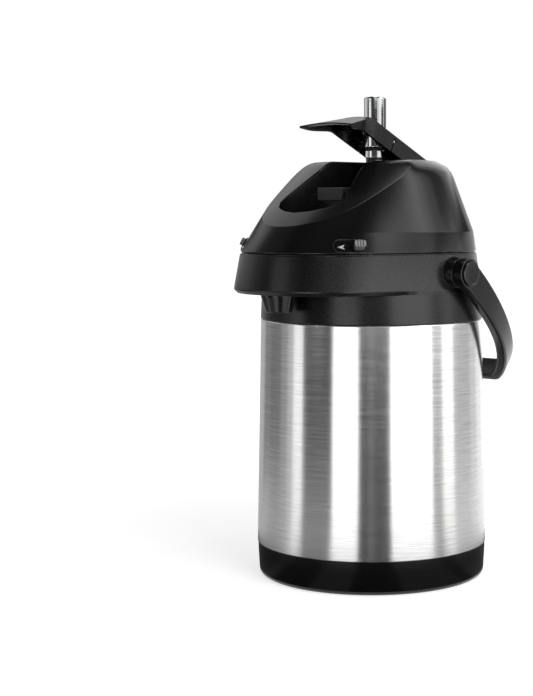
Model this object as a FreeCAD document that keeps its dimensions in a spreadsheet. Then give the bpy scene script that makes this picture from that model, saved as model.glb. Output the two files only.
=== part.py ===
"""Lever-action vacuum pump pot, in millimetres.

Frame: +Z up, origin on the flask axis at the resting face, spout towards -Y, +X to the right.
"""
import FreeCAD, Part
import math
import os
import Sketcher
from FreeCAD import Matrix, Placement, Rotation, Vector

SIZES = {
    # Base ring and its anti-slip pad
    "base_top": 24.0,
    "base_inset": 0.4,
    "foot_round": 5.0,
    "base_flare": 1.2,
    "base_wall": 2.8,
    "base_floor": 3.0,
    "spigot_height": 5.0,
    "pad_inset": 13.4,
    "pad_thickness": 2.0,
    "pad_stand": 0.8,
    # Double-walled flask
    "casing_top_radius": 80.3,
    "casing_taper": 2.7,
    "casing_height": 161.0,
    "sheet_steel": 0.8,
    "shoulder_step": 2.6,
    "shoulder_wall": 6.0,
    "shoulder_rise": 10.5,
    "neck_radius": 48.8,
    "vacuum_gap": 2.7,
    "flask_lift": 5.0,
    "flask_round": 12.0,
    "flask_shoulder_drop": 11.0,
    "flask_neck_drop": 5.5,
    "weld_gap": 1.4,
    "rim_height": 1.0,
    # Fits shared by all pieces
    "push_fit": 0.05,
    "running_gap": 0.3,
    # Stopper, seals and outlet
    "gasket_height": 2.0,
    "stopper_flange": 3.0,
    "stopper_depth": 12.0,
    "stopper_headroom": 12.5,
    "air_port_radius": 7.0,
    "tube_radius": 4.0,
    "tube_bore": 2.8,
    "tube_reach": 26.0,
    "tube_bend": 6.0,
    "tube_floor_gap": 6.0,
    "hose_start": 62.0,
    "nozzle_gap": 2.0,
    "nozzle_top_radius": 12.5,
    "nozzle_tip_radius": 9.0,
    "nozzle_drop": 12.0,
    "nozzle_wall": 2.4,
    "stub_height": 3.0,
    # Collar: round skirt, then an egg-shaped upper body with a beak
    "collar_step": 0.2,
    "skirt_wall": 2.5,
    "deck_gap": 1.5,
    "deck_thickness": 6.0,
    "ledge_step": 2.5,
    "skirt_taper": 1.0,
    "ledge_reach": 48.0,
    "ledge_narrowing": 14.5,
    "ledge_round": 2.5,
    "beak_height": 27.0,
    "collar_taper": 3.3,
    "seam_reach": 44.0,
    "seam_narrowing": 12.7,
    "shell_wall": 3.2,
    # Lid hinge behind the collar
    "hinge_stand": 7.8,
    "knuckle_radius": 5.0,
    "lug_half": 7.5,
    "ear_width": 8.0,
    "hinge_pin_radius": 2.0,
    # Head shell: band, brow and crest stations of its wall
    "seam_gap": 1.0,
    "band_rise": 15.5,
    "band_inset": 2.2,
    "band_reach": 35.5,
    "band_narrowing": 13.0,
    "brow_rise": 39.0,
    "brow_inset": 14.0,
    "brow_reach": 13.0,
    "brow_narrowing": 7.0,
    "crest_rise": 11.9,
    "crest_trim": 0.4,
    # Crowned deck that slopes to the front
    "deck_turn": 19.1,
    "deck_bend": 24.0,
    "deck_slope": 35.0,
    "crown_radius": 130.0,
    "crown_start": 37.0,
    "crown_fade": 40.0,
    # Pocket for the lever
    "pocket_front": 79.5,
    "pocket_side_gap": 5.0,
    "pocket_shoulder": 64.0,
    "channel_side_gap": 3.0,
    "channel_start": 33.0,
    "channel_end_gap": 2.5,
    "pocket_floor_rise": 23.5,
    "shelf_rise": 19.5,
    "bellows_gap": 3.6,
    "tower_half": 11.7,
    "tower_back": 14.0,
    "tower_rise": 3.5,
    "pocket_wall": 2.4,
    # Pump
    "post_reach": 4.0,
    "plate_gap": 0.2,
    "underplate_thickness": 3.0,
    "screw_radius": 1.6,
    "screw_head": 3.0,
    "screw_post_radius": 4.6,
    "screw_length": 14.0,
    "screw_side_inset": 32.2,
    "screw_back_inset": 34.2,
    "screw_front_step": 8.0,
    "bellows_radius": 43.0,
    "bellows_fold": 7.0,
    "bellows_wall": 1.4,
    "plunger_headroom": 1.6,
    "plunger_plate_thickness": 3.0,
    "plate_margin": 3.0,
    "rod_radius": 6.0,
    "post_foot_rise": 4.5,
    "band_radius": 7.25,
    "groove_drop": 15.6,
    "groove_width": 2.2,
    "groove_radius": 5.6,
    "post_radius": 8.0,
    "post_above_pin": 8.7,
    "bush_height": 11.5,
    "bush_wall": 2.6,
    "knob_lip": 0.1,
    "knob_height": 23.4,
    "knob_round": 1.2,
    "spigot_radius": 4.0,
    "spigot_depth": 5.0,
    "spring_radius": 15.0,
    "spring_wire": 2.0,
    "spring_turns": 5.0,
    "valve_radius": 11.0,
    "seal_wall": 3.0,
    # Lever
    "lever_hinge_reach": 44.0,
    "lever_hinge_rise": 17.0,
    "lever_pin_radius": 2.0,
    "lug_radius": 6.5,
    "tip_reach": 49.0,
    "tip_rise": 30.5,
    "tip_thickness": 3.4,
    "knee_reach": 17.0,
    "knee_rise": 36.1,
    "arm_depth": 12.2,
    "arm_half": 16.0,
    "arm_start": 25.0,
    "paddle_half": 25.0,
    "lever_wall": 2.5,
    "lever_throw": 25.0,
    "cross_pin_reach": 7.0,
    "cross_pin_cover": 3.927,
    "cross_pin_radius": 2.0,
    "cross_pin_play": 0.5,
    "assembly_slit": 1.0,
    "lever_post_gap": 0.8,
    # Latch sliders on the head's cheeks
    "latch_angle": 53.5,
    "latch_rise": 6.5,
    "latch_oval_length": 22.5,
    "latch_oval_height": 9.0,
    "latch_recess": 1.6,
    "latch_pad_length": 7.7,
    "latch_pad_height": 5.4,
    "latch_pad_stand": 6.0,
    "latch_travel": 6.0,
    "latch_stem": 3.0,
    "latch_keeper": 1.6,
    "latch_keeper_gap": 1.2,
    # Bail handle
    "pivot_drop": 13.0,
    "handle_casing_gap": 0.5,
    "handle_thickness": 8.0,
    "handle_depth": 16.0,
    "handle_inner_reach": 121.5,
    "handle_bow": 146.0,
    "handle_corner": 7.0,
    "handle_droop": 38.0,
    "eye_radius": 10.4,
    "boss_radius": 12.0,
    "handle_pin_radius": 4.0,
    "cap_inset": 1.6,
    "cap_thickness": 2.0,
    "handle_round": 2.4,
}

# Heights and radii that follow from the sizes, each seated on the piece that carries it
FOLLOWING = {
    "casing_foot_radius": "casing_top_radius + casing_taper",
    "base_radius": "casing_foot_radius - base_inset",
    "pad_radius": "base_radius - base_flare - pad_inset",
    "casing_top": "base_top + casing_height",
    "neck_foot": "casing_top + shoulder_wall + shoulder_rise",
    "flask_radius": "casing_top_radius - sheet_steel - vacuum_gap",
    "flask_shoulder": "casing_top - flask_shoulder_drop",
    "flask_neck_foot": "neck_foot - flask_neck_drop",
    "collar_radius": "casing_top_radius + collar_step",
    "deck_height": "neck_foot + deck_gap",
    "ledge_height": "deck_height + ledge_step",
    "ledge_back": "collar_radius - skirt_taper",
    "ledge_tip": "ledge_back - ledge_narrowing",
    "seam_height": "ledge_height + beak_height",
    "seam_back": "ledge_back - collar_taper",
    "seam_tip": "seam_back - seam_narrowing",
    "neck_top": "seam_height - stopper_headroom - stopper_flange - gasket_height - rim_height",
    "nozzle_reach": "collar_radius + nozzle_gap + nozzle_top_radius",
    "hinge_reach": "seam_back + hinge_stand",
    "band_height": "seam_height + band_rise",
    "band_back": "seam_back - band_inset",
    "band_tip": "band_back - band_narrowing",
    "brow_height": "band_height + brow_rise",
    "brow_back": "band_back - brow_inset",
    "brow_tip": "brow_back - brow_narrowing",
    "crest_height": "brow_height + crest_rise",
    "pocket_half": "paddle_half + pocket_side_gap",
    "channel_half": "arm_half + channel_side_gap",
    "channel_back": "lever_hinge_reach + lug_radius + channel_end_gap",
    "pocket_floor": "seam_height + pocket_floor_rise",
    "shelf_height": "pocket_floor + shelf_rise",
    "shelf_front": "bellows_radius - post_reach + pocket_wall + bellows_gap",
    "tower_top": "shelf_height + tower_rise",
    "screw_half": "seam_back - screw_side_inset",
    "screw_back": "seam_back - screw_back_inset",
    "screw_front": "seam_reach + screw_front_step",
    "plunger_plate_top": "shelf_height - pocket_wall - plunger_headroom",
    "plunger_plate_radius": "bellows_radius - plate_margin",
    "post_foot": "shelf_height + post_foot_rise",
    "bush_top": "shelf_height + bush_height",
    "lever_hinge_height": "shelf_height + lever_hinge_rise",
    "tip_height": "lever_hinge_height + tip_rise",
    "knee_height": "lever_hinge_height + knee_rise",
    "arm_run": "lever_hinge_reach + knee_reach",
    "arm_dip": "atan2(knee_rise; arm_run) - asin(lug_radius / hypot(knee_rise; arm_run))",
    "cross_pin_height": "knee_height - (cross_pin_reach + knee_reach) * tan(arm_dip) - cross_pin_cover",
    "post_top": "cross_pin_height + post_above_pin",
    "groove_height": "post_top - groove_drop",
    "knob_radius": "post_radius + knob_lip",
    "knob_top": "post_top + knob_height",
    "latch_height": "seam_height + latch_rise",
    "handle_height": "seam_height - pivot_drop",
    "handle_outer_half": "casing_foot_radius + handle_casing_gap + handle_thickness",
    "cap_radius": "eye_radius - cap_inset",
}

doc = FreeCAD.newDocument("PumpPot")
sheet = doc.addObject("Spreadsheet::Sheet", "Sizes")
cells = {alias: str(value) for alias, value in SIZES.items()}
cells.update({alias: "=" + formula for alias, formula in FOLLOWING.items()})
for row, (alias, content) in enumerate(cells.items(), start=1):
    sheet.set(f"A{row}", alias)
    sheet.set(f"B{row}", content)
    sheet.setAlias(f"B{row}", alias)
doc.recompute()


class Size:
    """A length with its present value and the sheet formula that keeps it up to date."""

    def __init__(self, value, formula):
        self.value = value
        self.formula = formula

    def joined(self, sign, other):
        other = as_size(other)
        values = {"+": self.value + other.value, "-": self.value - other.value,
                  "*": self.value * other.value, "/": self.value / (other.value or 1.0)}
        return Size(values[sign], f"({self.formula} {sign} {other.formula})")

    def __add__(self, other):
        return self.joined("+", other)

    def __sub__(self, other):
        return self.joined("-", other)

    def __mul__(self, other):
        return self.joined("*", other)

    def __truediv__(self, other):
        return self.joined("/", other)

    def __float__(self):
        return float(self.value)


def as_size(amount):
    """Any plain number as a Size."""
    if isinstance(amount, Size):
        return amount
    return Size(float(amount), repr(float(amount)))


def size(alias):
    """The driving dimension held in the sheet under this alias."""
    return Size(float(sheet.get(alias)), f"Sizes.{alias}")


def mm(alias):
    """The present value of a driving dimension, for outlines built directly."""
    return float(sheet.get(alias))


def plane_of(body, role):
    """One of a body's own origin planes."""
    return [item for item in body.Origin.OriginFeatures if item.Role == role][0]


def new_sketch(body, role):
    """An empty sketch on one of the body's origin planes."""
    sketch = body.newObject("Sketcher::SketchObject", body.Name + "_sketch")
    sketch.AttachmentSupport = (plane_of(body, role), [""])
    sketch.MapMode = "FlatFace"
    return sketch


def bind(sketch, kind, geometry, point, amount):
    """Hold one coordinate of a sketch point at a sheet formula."""
    index = sketch.addConstraint(Sketcher.Constraint(kind, geometry, point, float(amount)))
    sketch.setExpression(f"Constraints[{index}]", amount.formula)


def draw_polygon(sketch, points):
    """A closed outline whose corners are each held by two bound coordinates."""
    points = [(as_size(across), as_size(along)) for across, along in points]
    first = sketch.GeometryCount
    spots = [Vector(float(across), float(along), 0) for across, along in points]
    for index, spot in enumerate(spots):
        sketch.addGeometry(Part.LineSegment(spot, spots[(index + 1) % len(spots)]))
    for index, (across, along) in enumerate(points):
        line = first + index
        after = first + (index + 1) % len(points)
        sketch.addConstraint(Sketcher.Constraint("Coincident", line, 2, after, 1))
        bind(sketch, "DistanceX", line, 1, across)
        bind(sketch, "DistanceY", line, 1, along)


def draw_circle(sketch, across, along, radius):
    """A circle with bound centre and radius."""
    across, along, radius = as_size(across), as_size(along), as_size(radius)
    centre = Vector(float(across), float(along), 0)
    index = sketch.addGeometry(Part.Circle(centre, Vector(0, 0, 1), float(radius)))
    bind(sketch, "DistanceX", index, 3, across)
    bind(sketch, "DistanceY", index, 3, along)
    held = sketch.addConstraint(Sketcher.Constraint("Radius", index, float(radius)))
    sketch.setExpression(f"Constraints[{held}]", radius.formula)


def round_rings(body, base, rings):
    """Fillet the circular edges of a turned solid that lie at the given radius and height."""
    doc.recompute()
    for radius, height, amount in rings:
        names = []
        for number, edge in enumerate(base.Shape.Edges, start=1):
            if not isinstance(edge.Curve, Part.Circle):
                continue
            near_radius = abs(edge.Curve.Radius - float(radius)) < 0.01
            if near_radius and abs(edge.Curve.Center.z - float(height)) < 0.01:
                names.append(f"Edge{number}")
        fillet = body.newObject("PartDesign::Fillet", body.Name + "_round")
        fillet.Base = (base, names)
        fillet.setExpression("Radius", as_size(amount).formula)
        doc.recompute()
        base = fillet
    return base


def turned(label, profile, rings=(), behind=None):
    """A body turned about the vertical axis from a profile of (radius, height) corners."""
    body = doc.addObject("PartDesign::Body", label)
    body.Label = label
    sketch = new_sketch(body, "XZ_Plane")
    draw_polygon(sketch, profile)
    turn = body.newObject("PartDesign::Revolution", label + "_turn")
    turn.Profile = sketch
    turn.ReferenceAxis = (sketch, ["V_Axis"])
    turn.Angle = 360.0
    body.Tip = round_rings(body, turn, rings)
    if behind is not None:
        body.setExpression("Placement.Base.y", as_size(behind).formula)
    return body


def cross_bar(label, radius, half_length, behind, height):
    """A pin lying along X, centred on the middle plane."""
    bar = doc.addObject("Part::Cylinder", label)
    bar.Label = label
    bar.setExpression("Radius", radius.formula)
    bar.setExpression("Height", (half_length * 2.0).formula)
    bar.Placement = Placement(Vector(0, 0, 0), Rotation(Vector(0, 1, 0), 90))
    bar.setExpression("Placement.Base.x", (as_size(0) - half_length).formula)
    bar.setExpression("Placement.Base.y", behind.formula)
    bar.setExpression("Placement.Base.z", height.formula)
    return bar


def shaped(label, shape):
    """A piece whose free form is built directly from sheet values."""
    piece = doc.addObject("Part::Feature", label)
    piece.Label = label
    piece.Shape = shape
    piece.Placement = shape.Placement
    return piece


def mirrored(shape):
    """The same shape on the other side of the middle plane."""
    flip = Matrix(-1, 0, 0, 0, 0, 1, 0, 0, 0, 0, 1, 0, 0, 0, 0, 1)
    return shape.transformGeometry(flip)


def block(low, high):
    """A box between two opposite corners."""
    low, high = Vector(*low), Vector(*high)
    return Part.makeBox(high.x - low.x, high.y - low.y, high.z - low.z, low)


def rod_x(radius, start, end, behind, height):
    """A cylinder along X between two positions."""
    return Part.makeCylinder(radius, end - start, Vector(start, behind, height), Vector(1, 0, 0))


def egg_wire(height, back, reach, tip):
    """Plan outline: a back circle, a smaller front circle, and the two lines tangent to both."""
    lean = (back - tip) / reach
    side = math.sqrt(1.0 - lean * lean)
    rear = Vector(0, back, height)
    front = Vector(0, -reach - tip, height)
    right_back = Vector(side * back, -lean * back, height)
    right_tip = Vector(side * tip, -reach - lean * tip, height)
    left_back = Vector(-right_back.x, right_back.y, height)
    left_tip = Vector(-right_tip.x, right_tip.y, height)
    edges = [Part.Arc(left_back, rear, right_back).toShape(),
             Part.LineSegment(right_back, right_tip).toShape(),
             Part.Arc(right_tip, front, left_tip).toShape(),
             Part.LineSegment(left_tip, left_back).toShape()]
    return Part.Wire(edges)


def egg_loft(stations, ruled=True):
    """A solid through egg outlines given as (height, back, reach, tip)."""
    return Part.makeLoft([egg_wire(*station) for station in stations], True, ruled)


def inset(station, wall):
    """The same station drawn in by a wall thickness."""
    height, back, reach, tip = station
    return height, back - wall, reach, tip - wall


def between(low, high, height):
    """The station part-way between two others, at a given height."""
    share = (height - low[0]) / (high[0] - low[0])
    return tuple(start + share * (end - start) for start, end in zip(low, high))


def drilled(body, holes, role="XY_Plane"):
    """Cut round holes, given as (across, along, radius), right through a body."""
    sketch = new_sketch(body, role)
    for across, along, radius in holes:
        draw_circle(sketch, across, along, radius)
    doc.recompute()
    before = body.Tip.Shape.Volume
    pocket = body.newObject("PartDesign::Pocket", body.Name + "_holes")
    pocket.Profile = sketch
    pocket.Type = "ThroughAll"
    pocket.Midplane = True
    body.Tip = pocket
    doc.recompute()
    if pocket.Shape.Volume >= before:
        raise RuntimeError(body.Label + ": the holes cut nothing")


def pipe(path, bend, radius, bore):
    """A tube along straight runs joined by tangent arcs of one bend radius."""
    edges = []
    start = path[0]
    for corner, after in zip(path[1:-1], path[2:]):
        into = (corner - start).normalize()
        out = (after - corner).normalize()
        trim = bend * math.tan(into.getAngle(out) / 2.0)
        first = corner - into * trim
        last = corner + out * trim
        bisector = (out - into).normalize()
        reach = bend / math.cos(into.getAngle(out) / 2.0) - bend
        edges.append(Part.LineSegment(start, first).toShape())
        edges.append(Part.Arc(first, corner + bisector * reach, last).toShape())
        start = last
    edges.append(Part.LineSegment(start, path[-1]).toShape())
    heading = path[1] - path[0]
    shells = []
    for size_of_ring in (radius, bore):
        ring = Part.Wire(Part.Circle(path[0], heading, size_of_ring).toShape())
        shells.append(Part.Wire(edges).makePipeShell([ring], True, False))
    return shells[0].cut(shells[1])


# Levels and radii that several pieces share
floor_top = size("pad_thickness") + size("base_floor")
spigot_top = size("base_top") + size("spigot_height")
casing_bore = size("casing_foot_radius") - size("sheet_steel") - size("running_gap")
step_radius = size("casing_top_radius") - size("shoulder_step")
step_top = size("casing_top") + size("shoulder_wall")
flask_foot = spigot_top + size("flask_lift")
flask_neck = size("neck_radius") - size("sheet_steel") - size("weld_gap")
rim_top = size("neck_top") + size("rim_height")
plug_radius = flask_neck - size("sheet_steel") - size("running_gap") * 2
flange_foot = rim_top + size("gasket_height")
flange_top = flange_foot + size("stopper_flange")
beak_floor = size("deck_height") + size("deck_thickness")
head_foot = size("seam_height") + size("seam_gap")
underplate_top = head_foot + size("underplate_thickness")
bellows_foot = underplate_top + size("plate_gap")
plunger_foot = size("plunger_plate_top") - size("plunger_plate_thickness")
bellows_top = plunger_foot - size("plate_gap")
guide_radius = size("band_radius") + size("running_gap")
behind_axis = size("post_reach")

# Base ring: moulded cup whose spigot plugs into the steel casing
pad_seat = size("pad_radius") + size("push_fit")
foot_edge = size("base_radius") - size("base_flare")
ring_bore = foot_edge - size("base_wall")
turned("base_ring", [
    (pad_seat, size("pad_stand")), (foot_edge, size("pad_stand")),
    (size("base_radius"), size("base_top")), (casing_bore, size("base_top")),
    (casing_bore, spigot_top), (ring_bore, spigot_top), (ring_bore, floor_top),
    (0, floor_top), (0, size("pad_thickness")), (pad_seat, size("pad_thickness")),
], rings=[(foot_edge, size("pad_stand"), size("foot_round"))])

# Anti-slip pad: the disc the pot stands on
turned("foot_pad", [
    (0, 0), (size("pad_radius"), 0),
    (size("pad_radius"), size("pad_thickness")), (0, size("pad_thickness")),
])

# Outer casing: tapered steel tube drawn in to a shoulder and neck under the collar
sheet_steel = size("sheet_steel")
turned("outer_casing", [
    (size("casing_foot_radius") - sheet_steel, size("base_top")),
    (size("casing_foot_radius"), size("base_top")),
    (size("casing_top_radius"), size("casing_top")), (step_radius, size("casing_top")),
    (step_radius, step_top), (size("neck_radius"), size("neck_foot")),
    (size("neck_radius"), size("neck_top")),
    (size("neck_radius") - sheet_steel, size("neck_top")),
    (size("neck_radius") - sheet_steel, size("neck_foot") - sheet_steel),
    (step_radius - sheet_steel, step_top - sheet_steel),
    (step_radius - sheet_steel, size("casing_top") - sheet_steel),
    (size("casing_top_radius") - sheet_steel, size("casing_top") - sheet_steel),
])

# Casing bottom: welded dish that closes the vacuum space
turned("casing_bottom", [
    (0, spigot_top), (casing_bore, spigot_top), (casing_bore, spigot_top + size("spigot_height")),
    (casing_bore - sheet_steel, spigot_top + size("spigot_height")),
    (casing_bore - sheet_steel, spigot_top + sheet_steel), (0, spigot_top + sheet_steel),
])

# Inner flask: the steel bottle, hung from the casing's neck by its rolled rim
turned("inner_flask", [
    (0, flask_foot), (size("flask_radius"), flask_foot),
    (size("flask_radius"), size("flask_shoulder")), (flask_neck, size("flask_neck_foot")),
    (flask_neck, size("neck_top")), (size("neck_radius"), size("neck_top")),
    (size("neck_radius"), rim_top), (flask_neck - sheet_steel, rim_top),
    (flask_neck - sheet_steel, size("flask_neck_foot") - sheet_steel),
    (size("flask_radius") - sheet_steel, size("flask_shoulder") - sheet_steel),
    (size("flask_radius") - sheet_steel, flask_foot + sheet_steel),
    (0, flask_foot + sheet_steel),
], rings=[(size("flask_radius"), flask_foot, size("flask_round")),
          (size("flask_radius") - sheet_steel, flask_foot + sheet_steel,
           size("flask_round") - sheet_steel)])

# Stopper gasket and stopper: plug that seals the neck and carries the dip tube
turned("stopper_gasket", [
    (plug_radius + size("push_fit"), rim_top), (size("neck_radius"), rim_top),
    (size("neck_radius"), flange_foot), (plug_radius + size("push_fit"), flange_foot),
])
stopper_foot = flange_top - size("stopper_depth")
stopper = turned("stopper", [
    (size("air_port_radius"), stopper_foot), (plug_radius, stopper_foot),
    (plug_radius, flange_foot), (size("neck_radius"), flange_foot),
    (size("neck_radius"), flange_top), (size("air_port_radius"), flange_top),
])
tube_seat = size("tube_radius") + size("push_fit")
drilled(stopper, [(0, as_size(0) - size("tube_reach"), tube_seat)])

# Dip tube: rises from the flask floor through the stopper and turns towards the spout
tube_y = -mm("tube_reach")
hose_y = -mm("hose_start")
tube_low = float(flask_foot + sheet_steel + size("tube_floor_gap"))
tube_level = float(flange_top + size("tube_bend") + size("running_gap"))
shaped("dip_tube", pipe(
    [Vector(0, tube_y, tube_low), Vector(0, tube_y, tube_level), Vector(0, hose_y, tube_level)],
    mm("tube_bend"), mm("tube_radius"), mm("tube_bore")))

# Outlet hose: carries the drink along the beak and down into the nozzle
nozzle_y = -mm("nozzle_reach")
stub_top = beak_floor + size("stub_height")
shaped("outlet_hose", pipe(
    [Vector(0, hose_y, tube_level), Vector(0, nozzle_y, tube_level),
     Vector(0, nozzle_y, float(stub_top))],
    mm("tube_bend"), mm("tube_radius"), mm("tube_bore")))

# Spout nozzle: hollow cone hanging under the beak, with a stub up through its floor
stub_radius = size("tube_radius") + size("nozzle_wall")
nozzle_foot = size("ledge_height") - size("nozzle_drop")
turned("spout_nozzle", [
    (size("tube_bore"), stub_top), (stub_radius, stub_top), (stub_radius, size("ledge_height")),
    (size("nozzle_top_radius"), size("ledge_height")), (size("nozzle_tip_radius"), nozzle_foot),
    (size("nozzle_tip_radius") - size("nozzle_wall"), nozzle_foot),
    (size("tube_bore"), size("ledge_height")),
], behind=as_size(0) - size("nozzle_reach"))

# Stations of the collar and head walls, each as (height, back, reach, tip)
ledge_station = (mm("ledge_height") + mm("ledge_round"), mm("ledge_back"), mm("ledge_reach"),
                 mm("ledge_tip"))
seam_station = (mm("seam_height"), mm("seam_back"), mm("seam_reach"), mm("seam_tip"))
foot_station = (float(head_foot), mm("seam_back"), mm("seam_reach"), mm("seam_tip"))
band_station = (mm("band_height"), mm("band_back"), mm("band_reach"), mm("band_tip"))
brow_station = (mm("brow_height"), mm("brow_back"), mm("brow_reach"), mm("brow_tip"))
wall = mm("shell_wall")
hinge_y = mm("hinge_reach")
hinge_z = mm("seam_height")
pivot_z = mm("handle_height")
eye_inner = mm("handle_outer_half") - mm("handle_thickness")


def both_sides(shape):
    """A shape together with its mirror image."""
    return [shape, mirrored(shape)]


def make_collar():
    """Skirt round the casing's shoulder, floor round the neck, and the open beaked body."""
    skirt_height = ledge_station[0] - mm("casing_top")
    skirt = Part.makeCone(mm("collar_radius"), mm("ledge_back"), skirt_height,
                          Vector(0, 0, mm("casing_top")))
    under = (mm("ledge_height"),) + inset(ledge_station, mm("ledge_round"))[1:]
    solid = skirt.fuse(egg_loft([under, ledge_station, seam_station]))
    ear_start = mm("lug_half") + mm("running_gap")
    ear_end = ear_start + mm("ear_width")
    ear = rod_x(mm("knuckle_radius"), ear_start, ear_end, hinge_y, hinge_z)
    ear = ear.fuse(block((ear_start, mm("seam_back") - wall, hinge_z - mm("knuckle_radius")),
                         (ear_end, hinge_y, hinge_z)))
    boss_foot = mm("seam_back") - wall
    boss_end = eye_inner - mm("running_gap")
    boss = Part.makeCone(mm("boss_radius"), mm("eye_radius"), boss_end - boss_foot,
                         Vector(boss_foot, 0, pivot_z), Vector(1, 0, 0))
    solid = solid.fuse(both_sides(ear) + both_sides(boss))
    low = between(ledge_station, seam_station, float(beak_floor))
    high = between(ledge_station, seam_station, mm("seam_height") + mm("seam_gap"))
    pin_bore = mm("handle_pin_radius") + mm("push_fit")
    cuts = [egg_loft([inset(low, wall), inset(high, wall)]),
            Part.makeCylinder(mm("collar_radius") - mm("skirt_wall"),
                              mm("deck_height") - mm("casing_top"),
                              Vector(0, 0, mm("casing_top"))),
            Part.makeCylinder(mm("neck_radius") + mm("running_gap"), mm("seam_height"),
                              Vector(0, 0, mm("casing_top"))),
            Part.makeCylinder(float(stub_radius) + mm("push_fit"), mm("seam_height"),
                              Vector(0, nozzle_y, mm("casing_top"))),
            rod_x(pin_bore, -boss_end, boss_end, 0, pivot_z),
            rod_x(mm("hinge_pin_radius") + mm("push_fit"), -ear_end, ear_end, hinge_y, hinge_z)]
    return solid.cut(cuts)


shaped("collar", make_collar())
pin_half = size("lug_half") + size("running_gap") + size("ear_width")
cross_bar("lid_hinge_pin", size("hinge_pin_radius"), pin_half, size("hinge_reach"),
          size("seam_height"))

# Handle pins: one stub axle pressed through each collar boss
pin_start = mm("seam_back") - wall
pin_end = mm("handle_outer_half") - mm("running_gap")
shaped("handle_pins", Part.makeCompound(both_sides(
    rod_x(mm("handle_pin_radius"), pin_start, pin_end, 0, pivot_z))))


def crest_stations():
    """The wall's rounding from the brow to the flat top, as one arc in the back profile."""
    lean = math.atan2(mm("band_back") - mm("brow_back"), mm("brow_height") - mm("band_height"))
    radius = (mm("crest_height") - mm("brow_height")) / (1.0 - math.sin(lean))
    narrowing = (mm("brow_back") - mm("brow_tip")) / mm("brow_reach")
    stations = []
    steps = 5
    for step in range(1, steps + 1):
        angle = lean + (math.pi / 2 - lean) * step / steps
        height = mm("brow_height") + radius * (math.sin(angle) - math.sin(lean))
        drawn_in = radius * (math.cos(lean) - math.cos(angle))
        back = mm("brow_back") - drawn_in
        reach = mm("brow_reach") * (1.0 - drawn_in / mm("brow_back"))
        stations.append((height, back, reach, back - narrowing * reach))
    return stations


def deck_level(y):
    """Height of the deck's middle line: flat, then an arc, then a straight slope to the front."""
    top = mm("crest_height") - mm("crest_trim")
    ahead = -y - mm("deck_turn")
    bend = mm("deck_bend")
    slope = math.radians(mm("deck_slope"))
    if ahead <= 0:
        return top
    if ahead < bend * math.sin(slope):
        return top - bend + math.sqrt(bend * bend - ahead * ahead)
    drop = bend * (1.0 - math.cos(slope))
    return top - drop - (ahead - bend * math.sin(slope)) * math.tan(slope)


def under_deck(lowered):
    """All the space below the deck, whose crown across X fades out towards the rear."""
    half = mm("seam_back") + mm("shell_wall")
    bottom = mm("casing_top") - mm("crown_radius")
    rear = mm("hinge_reach")
    front = -(mm("ledge_reach") + mm("ledge_tip"))
    slices = 32
    wires = []
    for number in range(slices + 1):
        y = rear + (front - rear) * number / slices
        fade = math.exp(-max(0.0, y + mm("crown_start")) / mm("crown_fade"))
        radius = mm("crown_radius") / fade
        level = deck_level(y) - lowered
        edge = level - radius + math.sqrt(radius * radius - half * half)
        corners = [Vector(half, y, edge), Vector(half, y, bottom), Vector(-half, y, bottom),
                   Vector(-half, y, edge)]
        edges = [Part.Arc(corners[3], Vector(0, y, level), corners[0]).toShape()]
        edges += [Part.LineSegment(a, b).toShape() for a, b in zip(corners, corners[1:])]
        wires.append(Part.Wire(edges))
    return Part.makeLoft(wires, True, False)


def pocket_plan():
    """Plan of the lever pocket: bowed front, sides drawing in, then a straight channel."""
    half = mm("pocket_half")
    shoulder = -mm("pocket_shoulder")
    channel = mm("channel_half")
    points = [Vector(half, shoulder, 0), Vector(channel, -mm("channel_start"), 0),
              Vector(channel, mm("channel_back"), 0), Vector(-channel, mm("channel_back"), 0),
              Vector(-channel, -mm("channel_start"), 0), Vector(-half, shoulder, 0)]
    edges = [Part.LineSegment(a, b).toShape() for a, b in zip(points, points[1:])]
    edges.append(Part.Arc(points[-1], Vector(0, -mm("pocket_front"), 0), points[0]).toShape())
    return Part.Wire(edges)


def pocket_space(grown):
    """The pocket grown outwards by a wall: deep in front, with a raised shelf under the lever."""
    plan = pocket_plan()
    if grown:
        plan = plan.makeOffset2D(grown, 2)
    floor = mm("pocket_floor") - grown
    prism = Part.Face(plan).extrude(Vector(0, 0, mm("post_top") - floor))
    prism.translate(Vector(0, 0, floor))
    side = mm("pocket_half") + 2 * mm("pocket_wall")
    shelf = block((-side, -mm("shelf_front") + grown, floor - mm("pocket_wall")),
                  (side, mm("hinge_reach"), mm("shelf_height") - grown))
    return prism.cut(shelf)


def latch_frame():
    """Placement on the right cheek: X to the rear along the wall, Y up it, Z outwards."""
    angle = math.radians(mm("latch_angle"))
    spots = []
    for station in (foot_station, band_station):
        height, _, reach, tip = station
        spots.append(Vector(tip * math.sin(angle), -reach - tip * math.cos(angle), height))
    share = (mm("latch_height") - spots[0].z) / (spots[1].z - spots[0].z)
    rearward = Vector(math.cos(angle), math.sin(angle), 0)
    upward = (spots[1] - spots[0]).normalize()
    outward = rearward.cross(upward)
    centre = spots[0] + (spots[1] - spots[0]) * share
    return Placement(centre, Rotation(rearward, upward, outward, "ZXY"))


def stadium(length, height, low, high):
    """An upright prism with round ends, centred on the origin."""
    radius = height / 2.0
    straight = length / 2.0 - radius
    ends = [Part.makeCylinder(radius, high - low, Vector(x, 0, low)) for x in (-straight, straight)]
    return block((-straight, -radius, low), (straight, radius, high)).fuse(ends).removeSplitter()


def placed(shape, placement):
    """A copy of a shape moved from the origin to a placement."""
    moved = shape.copy()
    moved.Placement = placement.multiply(moved.Placement)
    return moved


latch_rest = (mm("latch_oval_length") - mm("latch_oval_height")) / 2.0 - mm("running_gap")
latch_back = -wall - mm("latch_keeper_gap")


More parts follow.
